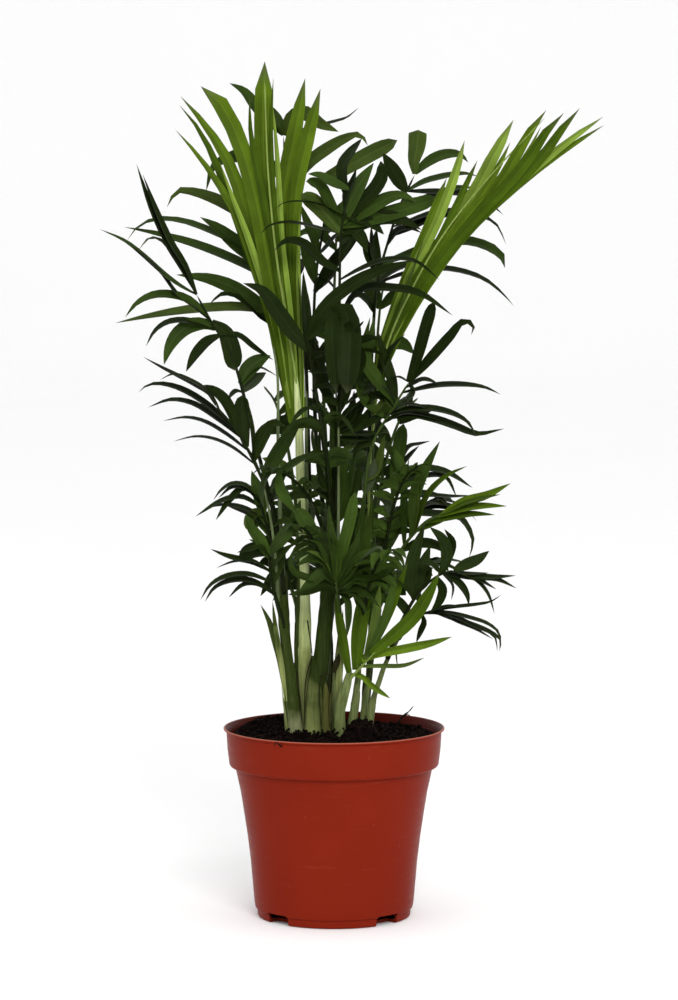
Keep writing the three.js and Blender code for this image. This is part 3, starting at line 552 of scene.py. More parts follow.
        grey(3, (40, 290), (43, 285), (39, 279)),
        deep(2.6, (31, 275), (38, 278), (46, 277.4), (54, 275.2)),
        deep(4, (30, 273), (42, 276), (54, 275.8), (66, 272.4), (73, 267.6), (76.4, 261)),
        deep(3.6, (28, 270), (42, 272.6), (56, 269.7), (68, 265.4), (77, 262.2), (92, 265.2)),
        deep(3.2, (27, 268), (38, 273.5), (50, 272), (61, 268)),
        deep(1.8, (39, 290), (35, 293), (30, 292.5)),
        grey(4, (32, 281), (28, 289), (17, 286), (4.5, 277)),
        deep(5.5, (31, 278), (24, 283), (14, 277.5), (3, 269)),
        olive(3.5, (30, 276), (28, 280), (24, 276.5), (20, 272)),
        deep(3.6, (29, 273), (22, 270), (15, 265.5), (10.5, 263)),
        deep(2.8, (24, 263), (15, 262.5), (8, 263), (3, 263)),
        deep(3.2, (21, 258), (15, 256), (9, 252)),
        deep(1.8, (24, 262), (27, 263.3), (29.5, 262.5)),
        grey(7, (17, 232), (19, 238), (21, 243), (22, 249)),
        olive(4.5, (17.5, 236), (23, 242), (25.5, 252), (27.5, 262)),
        deep(6.5, (33, 280), (31, 291), (27, 304), (23.5, 318)),
        deep(5, (29, 277), (24.5, 291), (27, 302), (32, 309.5), (38.5, 316.5)),
        mid(7, (12, 293), (16.6, 303), (19.4, 312), (20.6, 318.5), (21.4, 325.5)),
        mid(6, (27, 271), (16, 281), (14, 300), (19.5, 325.5))),
    "frond_right_bright": (
        mid(6.2, (39, 210), (44, 230), (49.6, 244), (57.2, 258.6)),
        fresh(4, (42, 211), (50, 228.4), (60, 239), (72, 245)),
        young(4.6, (58, 220), (70, 225.4), (82, 228.8), (95.5, 235.6)),
        fresh(3.6, (58, 219.5), (70, 224.8), (80, 227.4), (90, 229.6)),
        young(4.4, (56, 218.5), (68, 221.6), (80, 223.2), (93.5, 223.2)),
        fresh(3, (50, 215), (62, 217), (74, 218.8), (87, 218.5)),
        mid(4, (37, 203), (38, 223), (38.5, 236), (40.5, 249)),
        olive(5, (40, 208), (44, 221), (44.5, 232), (46.5, 244)),
        fresh(5.4, (45, 211), (52, 214), (59, 217), (67, 222)),
        deep(6, (36, 199), (46, 203), (55, 202), (64, 196))),
    "frond_right_dark": (
        mid(7.5, (32, 228), (33, 240), (35, 254), (37.5, 268), shape="blunt"),
        deep(3.6, (35, 241), (30, 254), (22, 259), (14, 257)),
        deep(3.4, (35, 242), (40, 255), (46, 257), (52, 258.5)),
        deep(2, (35, 240), (38, 247), (42, 252), (46, 256)),
        deep(3.2, (34, 238), (46, 243.5), (60, 242), (75, 233)),
        deep(2.4, (33, 234), (46, 239), (60, 239), (66.5, 227.5)),
        deep(2.6, (32, 229), (44, 230.5), (56, 228.5), (64, 221)),
        deep(2, (33, 226), (50, 229), (64, 228.5), (76, 229)),
        deep(3.6, (34, 218), (56, 219), (68, 217), (75, 205), (73, 195))),
    "frond_right_fan": (
        deep(6, (64, 189.5), (71, 191.3), (78, 194.5), (84, 199)),
        deep(2.6, (60, 189), (70, 186), (84, 184.7), (98.5, 185.5)),
        deep(2.6, (59, 188), (75, 184.5), (88, 183.5), (99, 178.5)),
        deep(2, (62, 189), (74, 186.5), (84, 187)),
        deep(2.2, (63, 189), (76, 183.5), (83, 176), (87, 164.5)),
        deep(1.8, (64, 189), (77, 184), (88, 178)),
        deep(4, (60, 188), (68, 181), (72, 175), (73, 169)),
        deep(2.2, (58, 187), (64, 180), (63.5, 172)),
        deep(5, (56, 187), (59, 178), (57, 171), (52, 165)),
        deep(5.5, (57, 188), (62.6, 197), (64.2, 204), (59.6, 211)),
        deep(6.5, (58, 188), (61, 197), (58.6, 205.4), (51.6, 212)),
        deep(6.5, (45, 179), (46.6, 187), (49.4, 194.6), (52, 202)),
        deep(5, (47, 180), (50, 184), (53, 189.5)),
        deep(2.4, (58, 189), (52, 192), (44, 192)),
        deep(7.5, (43, 175), (42, 190), (45, 202), (49, 213)),
        deep(3, (43, 175), (38, 181), (31, 185), (24, 184))),
    "frond_right_lowest": (
        deep(2.6, (52, 166.8), (64, 168.2), (78, 169.8), (85, 171.3), (90.8, 175.2)),
        deep(2, (51, 167), (60, 168.5), (69, 169)),
        deep(1.8, (52, 167), (61, 165.5), (74, 162.4), (84, 158.8), (89.6, 153.4), (89.6, 144)),
        deep(2, (53, 166.2), (58, 164.6), (67.8, 160), (76, 156.6), (86.6, 150.6)),
        deep(2.8, (86, 156), (89.8, 151), (89.4, 143.8)),
        deep(3, (50, 166.5), (64, 163.5), (76, 158), (87, 152), (88.5, 143.5)),
        deep(2.4, (49, 166), (61, 165), (72, 158.5)),
        deep(4, (48, 165.5), (49, 160), (47, 155), (44.5, 149)),
        deep(5, (42, 161), (38, 168), (33, 173), (26, 175))),
    "frond_low_bright": (
        fresh(5, (8.4, 131), (6.2, 143), (3.6, 158), (0.6, 175)),
        fresh(8.4, (12, 134), (13, 148), (14.8, 163), (20, 186.5)),
        fresh(5.4, (15, 137), (22, 150), (30.5, 168), (39.8, 192.5)),
        fresh(7.5, (20, 143), (30, 151), (43, 163), (52, 177), (57, 187)),
        olive(4.8, (17, 140), (21, 155), (23, 167), (25, 181)),
        mid(4.6, (18, 142), (26, 158), (30, 171), (33.6, 188)),
        young(4.8, (15, 139.4), (24, 142.8), (38, 145.6), (52, 148.6), (64, 152.2)),
        olive(2.4, (12, 136), (25, 136.3), (38, 136.6), (49.2, 140.8)),
        young(3.2, (9, 131.5), (14, 131), (21, 125), (30.5, 118.5))),
    "frond_front_low": (
        deep(5.5, (1, 187), (-6, 194), (-13, 194.5), (-21, 190.5)),
        deep(6.5, (1, 186), (-5, 187), (-12, 182), (-19, 177)),
        deep(5, (2, 179), (-6, 179.5), (-15, 177), (-25, 175)),
        mid(6.5, (3, 193), (6, 205), (9, 217), (11.5, 231), shape="blunt"),
        mid(4.5, (3, 184), (8, 190), (16, 197.5), (25, 200), lean=-6),
        deep(4.5, (3, 183), (12, 189), (22, 193), (33, 196), lean=-4),
        deep(4.4, (3, 180), (6.5, 173), (7.6, 164), (7, 152), lean=-2),
        deep(4, (-12, 183), (-21, 187), (-24, 193), (-21.5, 200.5), lean=-2),
        mid(4, (3, 181), (10, 184), (20, 184), (32, 189), lean=-6),
        deep(4, (3, 179), (11, 178), (19, 174), (25, 168), lean=-4),
        deep(3.6, (3, 180), (9, 176), (15, 170), (18, 163), lean=-4),
        mid(3.4, (2, 187), (3, 195), (2, 203), (-1, 210), lean=-4),
        deep(3.4, (2, 187), (7, 195), (12, 203), (14, 211), lean=-6),
        olive(3, (2, 186), (-3, 192), (-9, 197), (-15, 199), lean=-6),
        deep(4, (1, 187), (-5, 196), (-9, 203), (-14, 205)),
        grey(3, (1, 183), (-3, 186), (-8, 188), (-14, 191)),
        deep(5, (1, 187), (0, 200), (-2, 211), (-3, 224)),
        deep(6, (2, 184), (9, 190), (12, 199), (13, 209)),
        mid(5, (3, 178), (10, 183), (15, 190), (18, 199)),
        deep(5, (3, 172), (8, 175), (14, 179), (19, 187))),
    # Fronds in front, whose ribs follow the rule below.
    "frond_front_high": (
        deep(4.6, (1, 268), (-4, 284), (-10, 296), (-13, 306), (-15.5, 322)),
        mid(2.8, (0, 260), (-3, 270), (-8, 278), (-12.5, 287)),
        deep(2.2, (7, 297), (-3, 297), (-9, 295.5), (-15.5, 296)),
        deep(2.6, (5, 287), (-1, 288), (-6, 288), (-12, 286.5)),
        deep(8, (6, 283), (9, 292), (16, 296), (23, 291)),
        deep(6, (3, 275), (6, 284), (8, 296), (9, 310)),
        deep(4, (2, 262), (6, 270), (10, 278), (11, 286)),
        deep(7, (10, 305), (6, 314), (2, 322), (-1, 331)),
        deep(6.5, (12, 312), (14, 305), (13, 297), (9, 290)),
        deep(4, (6, 262), (10, 268), (14, 274), (17, 281), (18, 287)),
        deep(4.5, (4, 258), (0, 266), (-5, 273), (-10, 279), (-12.5, 281)),
        mid(4, (8, 262), (12, 262.5), (17, 261.5), (22, 259.5)),
        deep(4.5, (9, 262), (13.5, 267), (17, 272), (19, 277)),
        deep(3.5, (13, 258), (21, 261), (24, 266), (25.5, 272)),
        deep(4, (7, 266), (10, 271), (11, 278), (11, 284)),
        deep(3, (5, 270), (9, 276), (15, 279.5)),
        olive(3.6, (9, 250), (11, 257), (12.5, 264))),
    "frond_front_middle": (
        deep(2.8, (-5, 228), (-8, 242), (-8.5, 254), (-7.5, 267)),
        deep(2.4, (-6, 240), (-9, 249), (-12, 262), (-10, 270)),
        mid(4, (-3, 215), (-2.5, 232), (-3, 246), (-4.5, 258)),
        mid(5.5, (-1, 208), (4, 224), (5.5, 240), (6, 259)),
        mid(3.4, (0, 212), (8, 232), (10.5, 246), (13, 260)),
        deep(3.4, (-5, 226), (-9, 231), (-13, 230)),
        deep(5.5, (1, 212), (8, 224), (12, 236), (14, 248)),
        deep(3, (-6, 232), (-10, 236), (-13.5, 233)),
        grey(3.2, (-3, 224), (-5.5, 216), (-5, 207)),
        deep(3, (-4, 214), (-8, 224), (-12.5, 222), (-13, 214))),
    "frond_front_middle_right": (
        deep(6, (30, 210), (36, 215), (41, 215), (46, 212)),
        olive(6, (30, 208), (26, 213), (21, 212), (16, 208)),
        grey(5, (32, 219), (28, 226), (22, 229)),
        deep(4.5, (32, 216), (27, 221), (20, 219)),
        deep(3.5, (26, 208), (21.5, 218), (22, 227), (22.5, 235)),
        deep(1.8, (34, 226), (28, 230), (21, 229)),
        deep(4, (35, 232), (31, 236), (24, 236)),
        mid(5, (39, 240), (35, 247), (33, 254)),
        mid(4, (28, 196), (32, 205), (35, 211), (36, 219)),
        deep(5, (27, 192), (22, 199), (17, 203), (11, 204))),
    "frond_front_middle_left": (
        mid(6, (-31, 240), (-29, 232), (-24.5, 225), (-20.5, 219)),
        deep(3, (-26, 241), (-31, 238), (-34.5, 231)),
        deep(3, (-14, 229), (-11, 221), (-12, 213), (-15, 207)),
        deep(4, (-33, 243), (-37, 238), (-39, 230), (-38, 222)),
        deep(2, (-16, 231), (-22, 233), (-28, 232), (-31, 228))),
    "frond_front_right": (
        grey(3, (29, 198), (25, 200.5), (18, 197), (13, 192)),
        grey(3.6, (16, 162), (10, 184), (11.5, 204), (12.5, 229)),
        deep(5, (14, 176), (13, 204), (15, 218), (16, 232)),
        mid(4.5, (16, 180), (17, 202), (20, 215), (21, 230)),
        deep(5, (10, 170), (9, 206), (13, 216), (19, 226)),
        olive(3.6, (18, 172), (14, 192), (16.5, 208), (18.5, 223)),
        olive(3.2, (20, 180), (18.5, 196), (19.5, 213), (20.5, 231)),
        deep(5, (17, 168), (11, 178), (6, 186), (3, 195)),
        deep(5, (22, 184), (28, 188), (33, 192), (35, 200)),
        deep(5.5, (19, 176), (24, 180), (29, 186), (31, 194)),
        mid(5, (17, 168), (21, 175), (26, 179), (32, 178))),
    "frond_front_left": (
        mid(8, (-9, 202), (-12, 209), (-16, 216), (-20.5, 222), shape="blunt"),
        deep(8.5, (-7, 197), (-4, 203), (-8, 205.5), (-14, 196)),
        deep(1.2, (-13, 207), (-17, 207), (-20, 205.5)),
        deep(1.2, (-12, 204), (-17, 204.5), (-21, 202)),
        deep(5, (-5, 184), (-8, 194), (-8, 204), (-6, 213)),
        deep(3, (-4, 178), (-8, 184), (-12, 187), (-14, 182))),
}

# Fronds worked out by rule: stem, foot height, compass, reach, height, longest leaflet, kind.
ROUND_FRONDS = {
    "frond_back_high": ("stem_back", 205, 84, 44, 382, 42, "mid"),
    "frond_back_high_left": ("stem_back_left", 190, 100, 42, 352, 32, "deep"),
    "frond_back_high_right": ("stem_back_right", 194, 78, 44, 346, 30, "mid"),
    "frond_back_middle": ("stem_back", 192, 96, 74, 310, 38, "deep"),
    "frond_back_middle_left": ("stem_back_left", 178, 112, 58, 284, 30, "olive"),
    "frond_back_middle_right": ("stem_back_right", 182, 60, 54, 278, 30, "deep"),
    "frond_back_low": ("stem_back", 174, 76, 70, 242, 34, "mid"),
    "frond_back_low_left": ("stem_back_left", 162, 98, 62, 222, 30, "deep"),
    "frond_back_low_right": ("stem_back_right", 166, 46, 46, 218, 30, "deep"),
    "frond_back_lowest": ("stem_back", 150, 98, 58, 188, 30, "mid"),
    "frond_side_left": ("stem_back_left", 150, 150, 34, 202, 24, "deep"),
    "frond_side_right": ("stem_back_right", 150, 22, 34, 188, 24, "mid"),
    "frond_front_high": ("stem_centre", 218, -70, 48, 326, 34, "deep"),
    "frond_front_middle": ("stem_centre", 204, -96, 64, 280, 34, "deep"),
    "frond_front_middle_right": ("stem_right", 162, -66, 52, 248, 30, "mid"),
    "frond_front_middle_left": ("stem_centre", 192, -128, 54, 246, 26, "deep"),
    "frond_front_right": ("stem_bright", 138, -74, 58, 204, 30, "mid"),
    "frond_front_left": ("stem_centre", 172, -108, 54, 218, 28, "deep"),
}

# Openings seen through the crown from the front, as x, z and radius. Leaflets placed by rule keep
# out of them.
OPENINGS = (
    (-22, 172, 1.8), (-22, 163, 1.8), (-22, 154, 1.6), (-10, 170, 1.8), (-10, 161, 2.0),
    (-10.5, 153, 1.2), (10, 167, 1.5), (9.5, 157, 0.9), (34, 162, 2.5), (38, 169, 3.0), (30, 155, 2.0),
    (-25, 236, 3.0), (-26, 251, 2.2), (-12, 244, 2.4), (-9, 218, 1.5), (-11, 257, 1.9), (-2, 276, 1.8),
    (-11, 273, 1.2), (-7.5, 268, 1.2), (0, 260, 1.0), (5, 281, 1.6), (8, 274.5, 1.6), (5, 266, 1.6),
    (12.5, 267.5, 1.7), (15, 279, 1.2), (19, 264.5, 1.6), (24, 259, 1.4), (-36, 254, 2.5),
    (-8, 312, 3.0), (-5.5, 300, 2.2), (-3, 292, 2.0), (-8.5, 283, 2.4), (-14.7, 306, 0.9),
    (19, 300, 1.3), (16, 317, 1.4), (17.5, 322, 1.4), (36, 303, 4.0), (35.5, 288, 2.3), (30, 267, 2.4),
    (42, 265, 4.0), (26, 226, 0.9), (30, 204.5, 2.3), (37.5, 206, 1.4), (40, 200, 1.6),
    (42.5, 216.5, 1.5), (56, 204, 3.0), (60, 250, 5.0), (60, 262, 5.0), (62, 300, 6.0), (52, 297, 3.0),
    (68, 340, 7.0), (57, 341, 3.5), (45, 325, 4.0), (-4, 406, 2.5), (1, 412, 2.0), (3.2, 387, 1.6),
    (7, 398, 1.1), (19, 394, 2.4), (23, 408, 1.4), (31, 397, 2.6), (38, 410, 2.2), (44, 393, 1.6),
    (-14, 381, 1.6), (-10, 377.5, 2.0), (-13, 364.5, 1.0), (-3, 361, 2.3), (2, 366, 1.4),
    (-11, 355, 1.6), (-5.5, 350, 1.6), (-12.5, 345, 1.8), (-12, 337, 1.5), (-6, 338, 2.2),
    (-7.5, 331, 1.4), (7, 351, 1.5), (17, 355, 2.2), (9, 346, 1.4), (26, 360, 1.4), (36, 367, 3.0),
    (42, 368, 2.6), (33, 344, 1.3), (13, 330, 2.4), (18, 331, 2.4), (17, 325, 1.8), (27, 330, 2.3),
    (26, 324, 1.6), (44, 380.5, 1.4), (-38, 285, 5.0), (-33, 279, 2.0), (-27.5, 279, 1.2),
    (-42, 322, 3.0), (-40, 270, 1.5), (-60, 245, 7.0), (-58, 208, 4.0), (-17, 212, 1.6),
    (-17.6, 226, 1.6), (-18.2, 240, 1.8), (-18.5, 252, 1.8), (-18.6, 262, 1.8), (-48, 230, 2.0),
    (-60, 300, 5.0), (-55, 158, 9.0), (70, 205, 4.0), (-40, 314, 4.0), (-47, 305, 3.0), (-36, 299, 2.0),
    (-35, 311, 2.0), (-40, 277, 3.0), (-44, 275, 2.0), (50, 284, 3.5), (57, 283, 3.0), (44, 285, 2.0),
    (-50, 206, 4.0), (35, 300, 5.5), (42, 316, 3.0), (46, 252, 5.0), (-35, 291, 5.0), (-39, 273, 4.5),
    (26, 364, 4.0), (12, 356, 5.0), (-2, 359, 3.0), (0, 345, 2.5), (14, 320, 3.0), (54, 201, 3.0),
    (-48, 244, 3.0), (-34, 258, 3.0),
)
# A ruled frond's rib: shares of its reach and of its climb, and how much of it is a bare stalk.
ROUND_CLIMB = ((0, 0), (0.12, 0.36), (0.36, 0.7), (0.68, 0.92), (1, 1))
ROUND_BARE = 0.42
# Its leaflets from the first to the last pair: length as a share of the longest, and lean in degrees.
ROUND_LENGTHS = (0.85, 1.0, 0.8)
ROUND_LEANS = (20, 36, 66)
# What chance may do to each: its place between the pairs, its length, lean in degrees, droop as a
# share of its length, width, and roll in radians.
ROUND_SHIFT = (-0.2, 0.2)
ROUND_STRETCH = (0.75, 1.25)
ROUND_SWING = (-16, 16)
ROUND_DROOP = (0.1, 0.6)
ROUND_WIDEN = (0.8, 1.1)
ROUND_ROLL = (-0.5, 0.5)
# Each leaflet is drawn this many times. The first that leaves the openings clear by this share of
# its width is kept.
ROUND_TRIES = 10
ROUND_CLEAR = 0.32


# ---- shared helpers

def colour(text):
    """A linear RGBA colour from an sRGB hex value such as #912A18."""
    channels = [int(text[i:i + 2], 16) / 255 for i in (1, 3, 5)]
    linear = [c / 12.92 if c <= 0.04045 else ((c + 0.055) / 1.055) ** 2.4 for c in channels]
    return (*linear, 1.0)


def add_node(tree, kind, settings=None, inputs=None):
    """Adds a node, sets its properties, and sets or links its inputs.

    A link comes from the socket that is given, or from the first output in use of a node.
    """
    node = tree.nodes.new("ShaderNode" + kind)
    for name, value in (settings or {}).items():
        setattr(node, name, value)
    for name, value in (inputs or {}).items():
        if isinstance(value, bpy.types.Node):
            value = next(socket for socket in value.outputs if socket.enabled)
        if isinstance(value, bpy.types.NodeSocket):
            tree.links.new(value, node.inputs[name])
        else:
            node.inputs[name].default_value = value
    return node


def empty_material(name):
    """A new material with an empty node tree."""
    material = bpy.data.materials.new(name)
    material.use_nodes = True
    material.node_tree.nodes.clear()
    return material, material.node_tree


def toned(tone, factor, lift=0.0):
    """A lighter or darker version of a colour."""
    return (*(min(c * factor + lift, 1.0) for c in tone[:3]), 1.0)


def select_only(*pieces):
    """Selects these pieces and nothing else, and makes the last one active."""
    if bpy.context.mode != "OBJECT":
        bpy.ops.object.mode_set(mode="OBJECT")
    bpy.ops.object.select_all(action="DESELECT")
    for piece in pieces:
        piece.select_set(True)
        bpy.context.view_layer.objects.active = piece


def add_modifier(piece, kind, **settings):
    """Adds a modifier to the active piece and applies it."""
    bpy.ops.object.modifier_add(type=kind)
    modifier = piece.modifiers[-1]
    for name, value in settings.items():
        setattr(modifier, name, value)
    bpy.ops.object.modifier_apply(modifier=modifier.name)


def finish_piece(piece, material, nodes):
    """Gives a piece its material, and ties it to the model's body, slot and nodes."""
    piece.data.materials.clear()
    piece.data.materials.append(material)
    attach(piece, "root")
    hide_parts(*nodes)


def span_point(a, b, c, d, share):
    """The point a share of the way from b to c on the centripetal curve through a, b, c and d."""
    t0 = 0.0
    t1 = t0 + math.sqrt((b - a).length)
    t2 = t1 + math.sqrt((c - b).length)
    t3 = t2 + math.sqrt((d - c).length)
    t = t1 + (t2 - t1) * share
    ab = a.lerp(b, (t - t0) / (t1 - t0))
    bc = b.lerp(c, (t - t1) / (t2 - t1))
    cd = c.lerp(d, (t - t2) / (t3 - t2))
    abc = ab.lerp(bc, (t - t0) / (t2 - t0))
    bcd = bc.lerp(cd, (t - t1) / (t3 - t1))
    return abc.lerp(bcd, (t - t1) / (t2 - t1))


def level(degrees):
    """The level direction at an angle from +X towards +Y."""
    angle = math.radians(degrees)
    return Vector((math.cos(angle), math.sin(angle), 0))


def smooth_path(points, steps):
    """Points at even distances along a smooth curve through the given ones."""
    points = [Vector(p) for p in points]
    ends = [points[0] * 2 - points[1], *points, points[-1] * 2 - points[-2]]
    dense = []
    for a, b, c, d in zip(ends, ends[1:], ends[2:], ends[3:]):
        dense.extend(span_point(a, b, c, d, i / 8) for i in range(8))
    dense.append(points[-1])
    travelled = [0.0]
    for a, b in zip(dense, dense[1:]):
        travelled.append(travelled[-1] + (b - a).length)
    path = []
    at = 0
    for i in range(steps + 1):
        goal = travelled[-1] * i / steps
        while at < len(dense) - 2 and travelled[at + 1] < goal:
            at += 1
        share = (goal - travelled[at]) / max(travelled[at + 1] - travelled[at], 1e-9)
        path.append(dense[at].lerp(dense[at + 1], min(share, 1.0)))
    return path


def heading(path, i):
    """The direction of a path at its i-th point."""
    return (path[min(i + 1, len(path) - 1)] - path[max(i - 1, 0)]).normalized()


def between(values, share):
    """The value at a share of the way through a row of evenly spaced values."""
    at = min(int(share * (len(values) - 1)), len(values) - 2)
    local = share * (len(values) - 1) - at
    return values[at] + (values[at + 1] - values[at]) * local


def upright(normal, forward):
    """The part of a direction that is square to forward, at length one."""
    square = normal - forward * normal.dot(forward)
    return square.normalized() if square.length > 1e-6 else forward.orthogonal().normalized()


class Bundle:
    """Points, faces and UVs of many small shapes, which become one joined mesh."""

    def __init__(self):
        self.points = []
        self.faces = []
        self.uvs = []

    def add_rows(self, rows, closed=False):
        """Joins rows of points with faces. A row of one point is a tip. Closed rows are rings."""
        starts = []
        for r, row in enumerate(rows):
            starts.append(len(self.points))
            for c, point in enumerate(row):
                self.points.append(point * MM)
                across = c / (len(row) - 1) if len(row) > 1 else 0.5
                self.uvs.append((across, r / (len(rows) - 1)))
        for r, (low, high) in enumerate(zip(rows, rows[1:])):
            self.join_rows(starts[r], len(low), starts[r + 1], len(high), closed)

    def join_rows(self, low, low_count, high, high_count, closed):
        """Faces between two rows, as quads, or as triangles round a row of one point."""
        count = max(low_count, high_count)
        for c in range(count if closed else count - 1):
            after = (c + 1) % count
            if low_count == 1:
                self.faces.append((low, high + after, high + c))
            elif high_count == 1:
                self.faces.append((low + c, low + after, high))
            else:
                self.faces.append((low + c, low + after, high + after, high + c))

    def make(self, name):
        """The joined mesh as an object in the scene."""
        mesh = bpy.data.meshes.new(name)
        mesh.from_pydata(self.points, [], self.faces)
        layer = mesh.uv_layers.new(name="along")
        for loop in mesh.loops:
            layer.data[loop.index].uv = self.uvs[loop.vertex_index]
        mesh.shade_smooth()
        piece = bpy.data.objects.new(name, mesh)
        bpy.context.scene.collection.objects.link(piece)
        return piece


def drawn_shape(name, rings, sides, closed=True):
    """A filled disc drawn out through rings, each a middle and a radius."""
    select_only()
    middle, radius = rings[0]
    bpy.ops.mesh.primitive_circle_add(
        vertices=sides, radius=radius * MM, fill_type="NGON", location=middle * MM)
    piece = bpy.context.object
    piece.name = name
    piece.data.name = name
    bpy.ops.object.transform_apply(location=True, rotation=True, scale=True)
    bpy.ops.object.mode_set(mode="EDIT")
    bpy.ops.mesh.select_mode(type="EDGE")
    bpy.ops.mesh.select_all(action="SELECT")
    for (low, old), (high, new) in zip(rings, rings[1:]):
        bpy.ops.mesh.extrude_edges_move(TRANSFORM_OT_translate={"value": (high - low) * MM})
        bpy.ops.transform.resize(value=(new / old, new / old, 1), center_override=high * MM)
    if closed:
        bpy.ops.mesh.edge_face_add()
        bpy.ops.mesh.select_all(action="SELECT")
        bpy.ops.mesh.normals_make_consistent(inside=False)
    bpy.ops.object.mode_set(mode="OBJECT")
    return piece


def turned_shape(name, stations, sides, closed=True):
    """A shape of revolution, from a filled disc at the first (radius, height) to the last."""
    rings = [(UP * height, radius) for radius, height in stations]
    return drawn_shape(name, rings, sides, closed)


def arc(centre, radius, start, end, steps):
    """Stations round an arc, by its centre (radius, height), its own radius and two angles."""
    angles = [math.radians(start + (end - start) * i / steps) for i in range(steps + 1)]
    return [(centre[0] + radius * math.cos(a), centre[1] + radius * math.sin(a)) for a in angles]


def stem_point(name, height):
    """The middle and radius of a stem at a height."""
    path, radii = STEMS[name]
    steps = 48
    line = smooth_path(path, steps)
    i = min(range(steps + 1), key=lambda k: abs(line[k].z - height))
    return line[i], between(radii, i / steps)


# ---- settings

def length_setting(name, description, default):
    """A length in metres that the sidebar shows in scene units."""
    return bpy.props.FloatProperty(
        name=name, description=description, default=default, min=0.0, precision=4,
        unit="LENGTH")


def colour_setting(name, description, default):
    """A colour from an sRGB hex value."""
    return bpy.props.FloatVectorProperty(
        name=name, description=description, default=colour(default), size=4, min=0.0, max=1.0,
        subtype="COLOR")


class PalmPotSettings(bpy.types.PropertyGroup):
    """Sizes and colours of the pot."""

    wall: length_setting("Wall", "Thickness of the moulded wall", WALL * MM)
    plastic: colour_setting("Plastic", "Terracotta of the plastic", "#7A2110")
    shade: colour_setting("Plastic shade", "Darker patches in the plastic", "#701C0D")
    # Painted shade: the dark colour painted on the inner wall of the pot.
    inner_wall_shade: colour_setting("Stain", "Compost stain inside the pot", "#1C0B06")
    # Also the colour of the painted highlight along the lip's top edge.
    scuff_and_highlight: colour_setting("Scuffs", "Pale marks where the plastic is rubbed", "#A2604E")


class PalmCompostSettings(bpy.types.PropertyGroup):
    """Sizes and colours of the compost."""

    lump: length_setting("Lump", "Height of the lumps in the surface", 1.6 * MM)
    crumb: length_setting("Crumb", "Size of the larger crumbs", 1.3 * MM)
    crumbs: bpy.props.IntProperty(
        name="Crumbs", description="Number of loose crumbs on the surface", default=1500, min=0)
    rootlets: bpy.props.IntProperty(
        name="Rootlets", description="Number of fine roots and fibres", default=34, min=0)
    peat: colour_setting("Peat", "Moist dark peat", "#0C0706")
    fibre: colour_setting("Fibre", "Drier brown fibres in the peat", "#21140E")
    root: colour_setting("Root", "Fine roots and fibres", "#3A291C")
    twig: colour_setting("Twig", "Bits of dark bark", "#1E1512")


class PalmStemSettings(bpy.types.PropertyGroup):
    """Sizes and colours of the stems, leaf bases and ribs."""

    sheath: length_setting("Leaf base", "Thickness of a leaf base round a stem", 0.45 * MM)
    rib: length_setting("Rib", "Radius of a frond's stalk at its foot", 1.45 * MM)
    foot: colour_setting("Foot", "Pale foot of the green stems", "#868A62")
    pale: colour_setting("Pale", "Pale leaf bases", "#828B52")
    middle: colour_setting("Middle", "Thin stems on the right", "#6A7646")
    green: colour_setting("Green", "Green of the stems further up", "#323E16")
    shaded: colour_setting("Shaded", "Dark stem in the middle", "#26320E")
    cream: colour_setting("Cream", "Pale stalk of the left spear", "#BCC88C")
    second: colour_setting("Second stalk", "Grey-green stalks beside it", "#5E6B46")
    papery: colour_setting("Papery", "Papery leaf bases", "#585A2C")
    dry: colour_setting("Dry", "Dried brown stub and edges", "#2A2812")
    stalk: colour_setting("Stalk", "Green stalks", "#3A4A20")
    dark: colour_setting("Dark stalk", "Shaded stalks of old fronds", "#1A220D")
    young: colour_setting("Young stalk", "Stalks of the young fronds", "#7A8C44")


class PalmLeafSettings(bpy.types.PropertyGroup):
    """Sizes and colours of the leaflets."""

    fold: bpy.props.FloatProperty(
        name="Fold", description="How far a leaflet folds along its midrib, as a share of its width",
        default=0.2, min=0.0, max=1.0, subtype="FACTOR")
    width: length_setting("Width", "Width of a leaflet on the fronds made by rule", 8.5 * MM)
    pairs: bpy.props.IntProperty(
        name="Pairs", description="Pairs of leaflets on the fronds made by rule", default=8, min=2)
    deep: colour_setting("Deep", "Dark old leaflets", "#182209")
    mid: colour_setting("Mid", "Mid green leaflets", "#2A3A12")
    olive: colour_setting("Olive", "Olive leaflets", "#38461A")
    grey: colour_setting("Grey", "Grey undersides that show", "#363F2A")
    fresh: colour_setting("Fresh", "Deeper green young leaflets", "#35480A")
    young: colour_setting("Young", "Bright young leaflets", "#485D12")
    pale: colour_setting("Pale", "Palest young leaflets", "#6A8030")


class PalmStageSettings(bpy.types.PropertyGroup):
    """Floor, light and camera."""

    floor: colour_setting("Floor", "Pale floor and cove", "#FFFFFF")
    sky: bpy.props.FloatProperty(
        name="Sky", description="Strength of the even light from above", default=0.96, min=0.0)
    key: bpy.props.FloatProperty(
        name="Key", description="Power of the large soft light in front", default=27.0, min=0.0,
        subtype="POWER", unit="POWER")
    lens: bpy.props.FloatProperty(
        name="Lens", description="Focal length of the camera in millimetres", default=LENS,
        min=1.0)


# ---- materials

